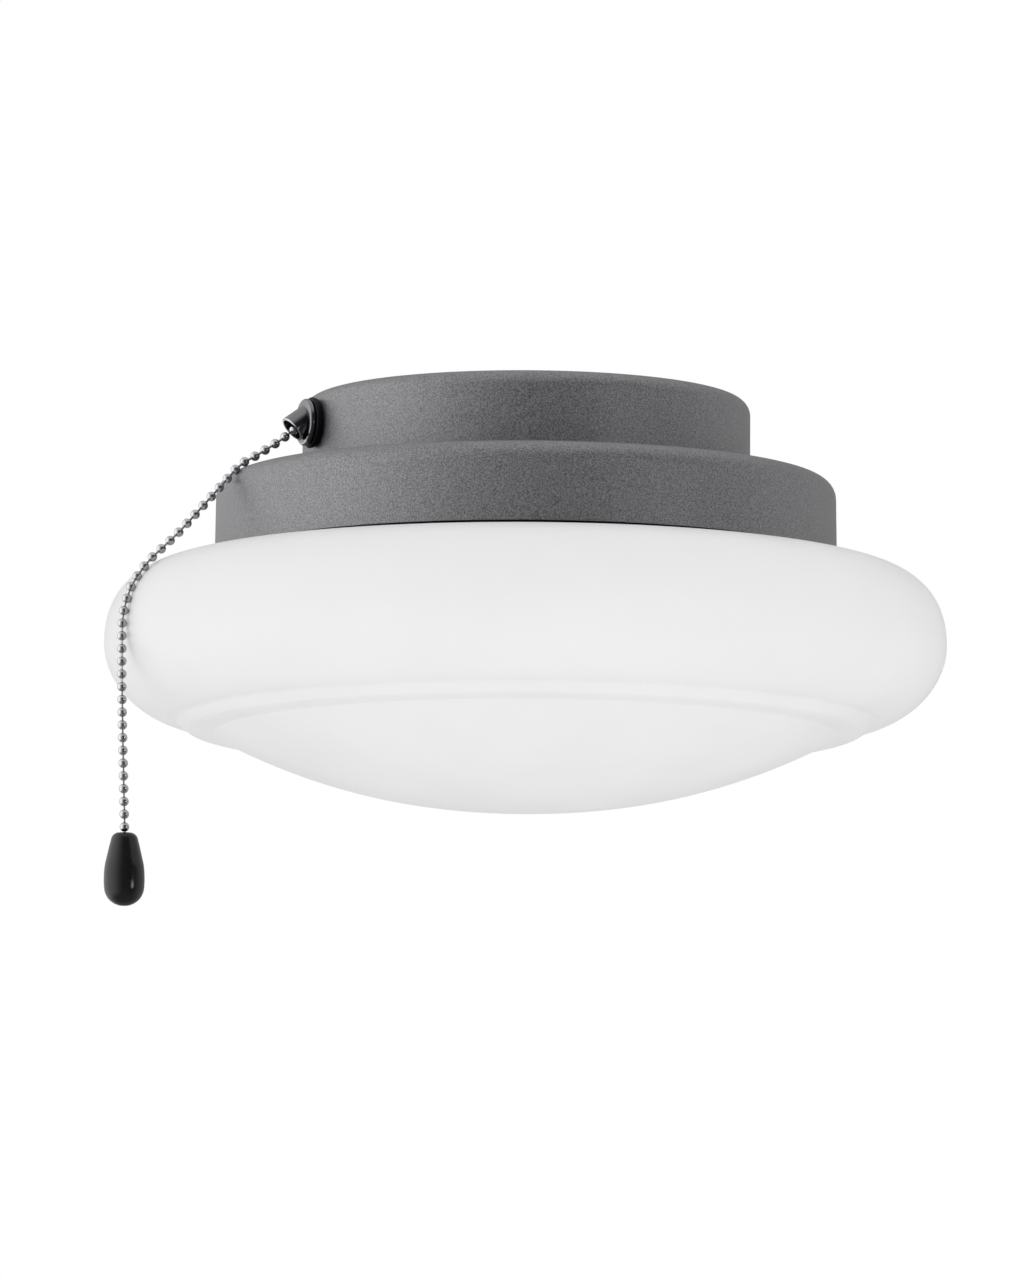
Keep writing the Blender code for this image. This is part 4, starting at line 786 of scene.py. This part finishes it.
@dataclass
class PullChain:
    """Nickel ball chain of 3.2 mm balls on short links, from the slider's stem to the knob.

    The free drop hangs below the glass's widest line.
    """

    ball_radius: float = 0.0016
    pitch: float = 0.0042
    link_radius: float = 0.0004
    last_link: float = 0.0017
    ball_sides: int = 20
    ball_rings: int = 12
    link_sides: int = 8
    line_samples: int = 24
    path_step: int = 8
    mouth: tuple[float, float] = (0.0838, -0.0146)
    free_height: float = -0.081
    route: tuple[tuple[float, float], ...] = (
        (0.0685, -0.0117), (0.0730, -0.0117), (0.0766, -0.0118), (0.0793, -0.0122), (0.0822, -0.0143),
        (0.0865, -0.0178), (0.0914, -0.0211), (0.0964, -0.0243), (0.1006, -0.0267), (0.1033, -0.0294),
        (0.1066, -0.0332), (0.1119, -0.0391), (0.1172, -0.0450), (0.1225, -0.0508), (0.1279, -0.0560),
        (0.1318, -0.0597), (0.1352, -0.0638), (0.1385, -0.0689), (0.1407, -0.0750), (0.1417, -0.0810),
        (0.1418, -0.0880), (0.1417, -0.1000), (0.1414, -0.1140), (0.1409, -0.1310), (0.1403, -0.1506),
    )

    def centreline(self) -> list[Vector]:
        """Gives a fine smooth line through the route's points."""
        anchors = [in_plane(radius, height) for radius, height in self.route]
        return smooth_line(
            [2 * anchors[0] - anchors[1], *anchors, 2 * anchors[-1] - anchors[-2]], self.line_samples,
        )

    @staticmethod
    def point_at(line: Sequence[Vector], distance: float) -> Vector:
        """Gives the point at a distance along a line.

        Args:
            line: The line's points.
            distance: How far along.

        Returns:
            The point.
        """
        run = 0.0
        for first, second in zip(line, line[1:]):
            step = (second - first).length
            if run + step >= distance:
                return first.lerp(second, (distance - run) / step)
            run += step
        return line[-1].copy()

    def build(self, knob: bpy.types.Object) -> None:
        """Args:
            knob: The knob on its end; not used.
        """
        line = self.centreline()
        length = sum((second - first).length for first, second in zip(line, line[1:]))
        reach = length - self.last_link
        count = int((reach - self.ball_radius) / self.pitch) + 1
        first_ball = reach - (count - 1) * self.pitch
        shape = bmesh.new()
        joints = [line[0]]
        for index in range(count):
            distance = first_ball + index * self.pitch
            centre = self.point_at(line, distance)
            behind, ahead = (self.point_at(line, distance + way * self.ball_radius) for way in (-1, 1))
            turn = (ahead - behind).to_track_quat("Z", "Y").to_matrix().to_4x4()
            bmesh.ops.create_uvsphere(
                shape, u_segments=self.ball_sides, v_segments=self.ball_rings, radius=self.ball_radius,
                matrix=Matrix.Translation(centre) @ turn,
            )
            joints.append(centre)
        joints.append(line[-1])
        links = [
            rod(first, second, self.link_radius, sides=self.link_sides)
            for first, second in zip(joints, joints[1:])
        ]
        chain = mesh_object("ball_chain", joined([shape, *links]))
        hang = in_plane(*self.route[-1])
        free = Vector((hang.x, hang.y, self.free_height))
        place_piece(chain, "pull", "dark_nickel", "pull_chain", stretch=(free, hang))


@dataclass
class DropKnob:
    """Turned black drop on the chain's end: a flared shoulder, a full belly and a rounded foot.

    The shares give its outline, as parts of its radius and of its height from the top.
    """

    height: float = 0.024
    radius: float = 0.0067
    hang: tuple[float, float] = (0.1403, -0.1509)
    bore_radius: float = 0.0009
    bore_depth: float = 0.0012
    bore_fillet: float = 0.0001
    mouth_fillet: float = 0.0002
    edge_fillet: float = 0.0003
    line_samples: int = 6
    shares: tuple[tuple[float, float], ...] = (
        (0.42, 0.0), (0.605, 0.044), (0.71, 0.14), (0.845, 0.30), (0.965, 0.46), (1.0, 0.62), (0.985, 0.74),
        (0.93, 0.82), (0.775, 0.90), (0.52, 0.96), (0.25, 0.992),
    )

    def build(self) -> bpy.types.Object:
        """Builds the knob round its bore.

        Returns:
            The knob.
        """
        anchors = [Vector((out * self.radius, -drop * self.height)) for out, drop in self.shares]
        line = smooth_line([anchors[0], *anchors, anchors[-1]], self.line_samples)
        top = [
            (0.0, -self.bore_depth), (self.bore_radius, -self.bore_depth, self.bore_fillet),
            (self.bore_radius, 0.0, self.mouth_fillet),
        ]
        side = [(point.x, point.y) for point in line]
        outline = rounded([*top, (*side[0], self.edge_fillet), *side[1:], (0.0, -self.height)])
        knob = mesh_object("drop_knob", spun(outline, SMALL_TURN_STEPS))
        knob.data.transform(Matrix.Translation(in_plane(*self.hang)))
        place_piece(knob, "pull", "black_gloss_plastic", "pull_knob")
        return knob


# Housings


@dataclass
class UpperTier:
    """Drawn steel cup, upside down, with three keyholes, the socket's hole and the nozzle's hole."""

    radius: float = UPPER_RADIUS
    rim: float = -0.0267
    fillet: float = 0.007
    flat_margin: float = 0.004
    socket_hole: float = 0.0095
    keyhole_circle: float = 0.05
    keyhole_head: float = 0.005
    keyhole_slot: float = 0.0026
    keyhole_travel: float = 0.009
    keyhole_sides: int = 48
    keyholes: int = 3
    first_keyhole: float = math.radians(30)
    nozzle_hole: float = 0.0063
    nozzle_hole_reach: float = 0.004

    def build(self) -> None:
        """Builds the cup and cuts its holes."""
        flat_edge = self.radius - self.fillet - self.flat_margin
        outer = rounded([
            (self.socket_hole, 0.0), (flat_edge, 0.0), (self.radius, 0.0, self.fillet),
            (self.radius, self.rim),
        ], SHOULDER_STEPS)
        cup = mesh_object("upper_tier", spun(outer + inner_line(outer, SHEET)[::-1], closed=True))
        cut(cup, self.holes())
        place_piece(cup, "housing", "graphite_powder_coat", "upper_housing")

    def holes(self) -> list[bmesh.types.BMesh]:
        """Makes the shapes that cut the keyholes and the nozzle's hole.

        Returns:
            The shapes.
        """
        shapes: list[bmesh.types.BMesh] = []
        up = Vector((0.0, 0.0, 2 * SHEET))
        for index in range(self.keyholes):
            angle = self.first_keyhole + index * math.tau / self.keyholes
            head = Vector((math.cos(angle), math.sin(angle), 0.0)) * self.keyhole_circle
            along = Vector((-math.sin(angle), math.cos(angle), 0.0))
            slot_end = head + along * self.keyhole_travel
            slot = bmesh.new()
            size = Matrix.Diagonal((self.keyhole_travel, 2 * self.keyhole_slot, 4 * SHEET, 1.0))
            turn = Matrix.Rotation(angle + math.pi / 2, 4, "Z")
            middle = Matrix.Translation((head + slot_end) / 2)
            bmesh.ops.create_cube(slot, size=1.0, matrix=middle @ turn @ size)
            shapes += [
                rod(head - up, head + up, self.keyhole_head, sides=self.keyhole_sides), slot,
                rod(slot_end - up, slot_end + up, self.keyhole_slot),
            ]
        reach = Vector((self.nozzle_hole_reach, 0.0, 0.0))
        shapes.append(rod(switch_frame() @ -reach, switch_frame() @ reach, self.nozzle_hole))
        return shapes


@dataclass
class LowerTier:
    """Drawn steel pan, upside down, with a rounded shoulder and a wall that flares a little."""

    radius: float = 0.103
    top: float = -0.027
    rim: float = -0.0538
    fillet: float = 0.009
    flat_margin: float = 0.004
    flare: float = 0.0004
    stem_hole: float = 0.0053
    screw_hole: float = 0.0016
    screw_sides: int = 24
    driver_offset: float = 0.036
    screw_spread: float = 0.032

    def build(self) -> None:
        """Builds the pan and cuts the driver's screw holes."""
        flat_edge = self.radius - self.fillet - self.flat_margin
        outer = rounded([
            (self.stem_hole, self.top), (flat_edge, self.top), (self.radius, self.top, self.fillet),
            (self.radius + self.flare, self.rim),
        ], SHOULDER_STEPS)
        pan = mesh_object("lower_tier", spun(outer + inner_line(outer, SHEET)[::-1], closed=True))
        driver = in_plane(-self.driver_offset, self.top)
        frame = Matrix.Translation(driver) @ Matrix.Rotation(SWITCH_ANGLE, 4, "Z")
        reach = Vector((0.0, 0.0, 2 * SHEET))
        holes = []
        for side in (-1, 1):
            place = frame @ Vector((0.0, side * self.screw_spread, 0.0))
            holes.append(rod(place - reach, place + reach, self.screw_hole, sides=self.screw_sides))
        cut(pan, holes)
        place_piece(pan, "housing", "graphite_powder_coat", "lower_housing")


@dataclass
class SeamShadeGasket:
    """Black EPDM foam ring inside the pan's rim, which the bowl's shoulder comes up against. Its black also
    stands for the shade in the gap between pan and glass, so it is partly a line of painted shade.
    """

    outer: float = 0.1019
    width: float = 0.0014
    bottom: float = -0.05488
    height: float = 0.00278
    corner: float = 0.0003
    corner_steps: int = 3

    def build(self) -> None:
        """Builds the ring with soft corners."""
        inner, top = self.outer - self.width, self.bottom + self.height
        start = (inner, self.bottom + self.height / 2)
        corners = [
            (*place, self.corner)
            for place in ((inner, self.bottom), (self.outer, self.bottom), (self.outer, top), (inner, top))
        ]
        section = rounded([start, *corners, start], self.corner_steps)[:-1]
        # The ring's black fills the seam under the rim as a line of painted shade.
        ring = mesh_object("seam_shade_foam_ring", spun(section, closed=True))
        place_piece(ring, "housing", "black_rubber", "rim_gasket")


# Glass


@dataclass
class GlassBowl:
    """Blown opal glass: neck, narrow shoulder, fat round bulb, bead ring between two grooves, shallow dome.

    The bead's shares give its corners, as parts of its width inwards and of its drop.
    """

    radius: float = 0.1399
    thickness: float = 0.003
    neck_radius: float = 0.0995
    neck_top: float = -0.0439
    shoulder: float = -0.0549
    shoulder_radius: float = 0.1012
    bulb_centre: tuple[float, float] = (0.112, -0.0827)
    upper_height: float = 0.02645
    upper_power: float = 2.3
    lower_height: float = 0.0257
    lower_power: float = 1.9
    top_share: float = 0.03
    foot_share: float = 0.175
    bead_width: float = 0.0154
    bead_drop: float = 0.0049
    bead_shares: tuple[tuple[float, float], ...] = (
        (0.2, 0.1), (0.33, 0.47), (0.46, 0.76), (0.7, 0.91), (1.0, 1.0),
    )
    bead_fillets: tuple[float, ...] = (0.003, 0.003, 0.004, 0.009, 0.0016)
    foot_fillet: float = 0.0012
    neck_fillet: float = 0.0006
    shoulder_fillet: float = 0.0012
    dome_depth: float = 0.0246
    dome_power: float = 2.22
    curve_steps: int = 30

    def quarter(self, height: float, power: float, first: float, last: float) -> Outline:
        """Gives points on a quarter of the bulb's rounded section.

        Args:
            height: The quarter's height, negative below the bulb's middle.
            power: How square the section is; 2 is an ellipse.
            first: Where it starts, from 0 at top or bottom to 1 at the side.
            last: Where it ends.

        Returns:
            The points.
        """
        line: Outline = []
        middle_radius, middle_height = self.bulb_centre
        for step in range(self.curve_steps + 1):
            angle = math.pi / 2 * (first + (last - first) * step / self.curve_steps)
            out = (self.radius - middle_radius) * math.sin(angle) ** (2 / power)
            line.append((middle_radius + out, middle_height + height * math.cos(angle) ** (2 / power)))
        return line

    def outline(self) -> Outline:
        """Draws the bowl's outer line.

        Returns:
            The line, from the neck's rim to the middle of the dome.
        """
        upper = self.quarter(self.upper_height, self.upper_power, self.top_share, 1.0)
        lower = self.quarter(-self.lower_height, self.lower_power, 1.0, self.foot_share)[1:]
        bead_radius, bead_top = lower[-1]
        bead = [
            (bead_radius - self.bead_width * inward, bead_top - self.bead_drop * down)
            for inward, down in self.bead_shares
        ]
        dome_radius, dome_top = bead[-1]
        dome: Outline = []
        for step in range(1, self.curve_steps + 1):
            radius = dome_radius * math.cos(math.pi / 2 * step / self.curve_steps)
            drop = self.dome_depth * (1 - (radius / dome_radius) ** self.dome_power)
            dome.append((radius, dome_top - drop))
        dome[-1] = (0.0, dome[-1][1])
        neck: list[tuple[float, ...]] = [
            (self.neck_radius, self.neck_top), (self.neck_radius, self.shoulder, self.neck_fillet),
            (self.shoulder_radius, self.shoulder, self.shoulder_fillet), *upper[:1],
        ]
        ridge = [(*corner, fillet) for corner, fillet in zip(bead, self.bead_fillets)]
        grooves = rounded([lower[-2], (*lower[-1], self.foot_fillet), *ridge, dome[0]])[1:-1]
        return rounded(neck)[:-1] + upper + lower[:-1] + grooves + dome

    def build(self) -> None:
        """Builds the bowl with its wall."""
        outer = self.outline()
        bowl = mesh_object("glass_shade", spun(outer))
        wall = bowl.modifiers.new("wall", "SOLIDIFY")
        wall.thickness = self.thickness
        wall.offset = -1.0
        settle(bowl)
        place_piece(bowl, "glass", "opal_glass", "glass_bowl")


# Nozzle and grommet


@dataclass
class WallGrommet:
    """Fat rubber grommet in the wall, round outside and flat inside."""

    radius: float = 0.0088
    thickness: float = 0.0024
    taper: float = 0.0008
    neck: float = 0.006
    inner_radius: float = 0.0073
    inner_front: float = -0.0019
    inner_back: float = -0.0034
    bore: float = 0.0053
    section_start: float = -0.001
    corner: float = 0.0004
    bore_corner: float = 0.0003
    groove_corner: float = 0.0002
    corner_steps: int = 8

    def build(self) -> None:
        """Builds the grommet on the switch's axis."""
        front = SEAT_GAP + self.thickness
        full = self.thickness / 2
        section = rounded([
            (self.bore, self.section_start), (self.bore, front, self.corner), (self.radius, front, full),
            (self.radius - self.taper, SEAT_GAP, full / 2), (self.neck, SEAT_GAP, self.groove_corner),
            (self.neck, self.inner_front, self.groove_corner),
            (self.inner_radius, self.inner_front, self.corner),
            (self.inner_radius, self.inner_back, self.corner),
            (self.bore, self.inner_back, self.bore_corner), (self.bore, self.section_start),
        ], self.corner_steps)[:-1]
        grommet = mesh_object("rubber_grommet", spun(section, SMALL_TURN_STEPS, closed=True))
        grommet.data.transform(switch_frame() @ Matrix.Rotation(math.pi / 2, 4, "Y"))
        place_piece(grommet, "housing", "black_rubber", "wall_grommet")


@dataclass
class ChainNozzle:
    """Nickel nozzle: plain barrel, domed flange, and a bell-mouthed snout that points down and out."""

    barrel_radius: float = 0.005
    barrel_back: float = -0.0064
    bore_radius: float = 0.0026
    flange_radius: float = 0.0078
    flange_back: float = 0.003
    flange_front: float = 0.0048
    flange_dome: float = 0.0012
    flange_edge: float = 0.0005
    barrel_edge: float = 0.0004
    tilt: float = math.radians(41.5)
    rise: float = 0.0009
    back_radius: float = 0.0037
    mouth_radius: float = 0.0046
    lip: float = 0.0003
    snout_back: float = 0.0083
    snout_length: float = 0.0137
    snout_wall: float = 0.0006
    knee_radius: float = 0.0029
    knee_sides: int = 36
    bright_depth: float = 0.00045
    bright_width: float = 0.00072

    def build(self) -> None:
        """Builds barrel, flange and snout as one piece, and bores them."""
        frame = switch_frame()
        along = Matrix.Rotation(math.pi / 2, 4, "Y")
        body = rounded([
            (0.0, self.flange_front), (self.flange_radius, self.flange_front, self.flange_dome),
            (self.flange_radius, self.flange_back, self.flange_edge), (self.barrel_radius, self.flange_back),
            (self.barrel_radius, self.barrel_back, self.barrel_edge), (0.0, self.barrel_back),
        ])
        barrel = spun(body, SMALL_TURN_STEPS)
        bmesh.ops.transform(barrel, matrix=frame @ along, verts=barrel.verts[:])
        level_end = frame @ Vector((self.flange_front, 0.0, 0.0))
        bend = frame @ Vector((self.flange_front - SEAT_GAP, 0.0, self.rise))
        axis = frame.to_3x3() @ Vector((math.cos(self.tilt), 0.0, -math.sin(self.tilt)))
        reach = self.snout_length - self.snout_back
        snout = spun(rounded([
            (0.0, 0.0), (self.mouth_radius, 0.0, self.lip), (self.back_radius, -self.snout_back),
            (0.0, -self.snout_back),
        ]), SMALL_TURN_STEPS)
        turn = axis.to_track_quat("Z", "Y").to_matrix().to_4x4()
        mouth = bend + axis * reach
        bmesh.ops.transform(snout, matrix=Matrix.Translation(mouth) @ turn, verts=snout.verts[:])
        nozzle = mesh_object("chain_spout", barrel)
        combine(nozzle, snout, "UNION")
        knee = bmesh.new()
        bmesh.ops.create_uvsphere(
            knee, u_segments=self.knee_sides, v_segments=self.knee_sides // 2, radius=self.knee_radius,
            matrix=Matrix.Translation(bend) @ turn,
        )
        cut(nozzle, [
            rod(frame @ Vector((self.barrel_back - CUT_OVERRUN, 0.0, 0.0)), level_end, self.bore_radius),
            knee,
            rod(
                bend - axis * self.snout_wall, bend + axis * (reach + CUT_OVERRUN), self.bore_radius,
                self.mouth_radius - self.snout_wall,
            ),
        ])
        place_piece(nozzle, "housing", "dark_nickel", "chain_nozzle", finish=BLACK_NICKEL)
        self.brighten_lip(nozzle, mouth, axis)

    def brighten_lip(self, nozzle: bpy.types.Object, mouth: Vector, axis: Vector) -> None:
        """Gives the mouth's rolled lip the bare nickel that the chain rubs bright.

        Args:
            nozzle: The nozzle.
            mouth: Middle of the mouth.
            axis: The snout's axis, outwards.
        """
        nozzle.data.materials.append(BRIGHT_NICKEL.material())
        for face in nozzle.data.polygons:
            away = face.center - mouth
            height = away.dot(axis)
            out = (away - axis * height).length
            if height > -self.bright_depth and out > self.mouth_radius - self.bright_width:
                face.material_index = 1


# Inner parts


@dataclass
class ReturnSpring:
    """Coiled wire spring round the slider's stem, which the slider presses against the case's front wall."""

    radius: float = 0.0022
    wire_radius: float = 0.00025
    wire_sides: int = 10
    back: float = -0.0194
    front: float = -0.007
    turns: int = 6
    turn_steps: int = 32
    travel: float = 0.009

    def build(self) -> None:
        """Winds the spring on the switch's axis and seats it on the housing."""
        coil = bmesh.new()
        start = self.back + self.wire_radius
        rise = self.front - self.back - 2 * self.wire_radius
        steps = self.turns * self.turn_steps
        bmesh.ops.create_circle(
            coil, cap_ends=False, segments=self.wire_sides, radius=self.wire_radius,
            matrix=Matrix.Translation((start, self.radius, 0.0)),
        )
        bmesh.ops.spin(
            coil, geom=coil.verts[:] + coil.edges[:], cent=(0.0, 0.0, 0.0), axis=(1.0, 0.0, 0.0),
            dvec=(rise / steps, 0.0, 0.0), angle=2 * math.pi * self.turns, steps=steps, use_duplicate=False,
        )
        bmesh.ops.holes_fill(coil, edges=coil.edges[:], sides=0)
        bmesh.ops.recalc_face_normals(coil, faces=coil.faces[:])
        spring = mesh_object("return_spring", coil)
        frame = switch_frame()
        spring.data.transform(frame)
        place_piece(spring, "housing", "spring_steel", "switch_spring")
        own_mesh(spring)


@dataclass
class InnerParts:
    """Socket, strap, stem, driver, switch, lamp board, clips and leads, which keep their CAD shapes."""

    frame: dict = field(repr=False)

    def dress(self) -> None:
        """Gives every CAD node that still shows the finish of its slot."""
        slots = {part["node"]: part["material_slot"] for part in self.frame["record"]["subparts"]}
        for name, node in self.frame["nodes"].items():
            if node.hide_render:
                continue
            finish = SLOT_FINISHES[slots[name]]
            node.data.materials.clear()
            node.data.materials.append(finish.material())
            LOG.info("%s: dressed in %s", name, finish.name)


def main() -> None:
    """Builds the camera, the chain with its knob, the studio, the tiers, the glass and the inner parts."""
    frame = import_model()
    StudioCamera().build()
    knob = DropKnob().build()
    PullChain().build(knob)
    StudioLight().build()
    UpperTier().build()
    LowerTier().build()
    SeamShadeGasket().build()
    GlassBowl().build()
    WallGrommet().build()
    ChainNozzle().build()
    ReturnSpring().build()
    InnerParts(frame).dress()
    scene = bpy.context.scene
    scene.view_settings.view_transform = "Standard"


if __name__ == "__main__":
    logging.basicConfig(level=logging.INFO, format="%(name)s %(message)s")
    main()
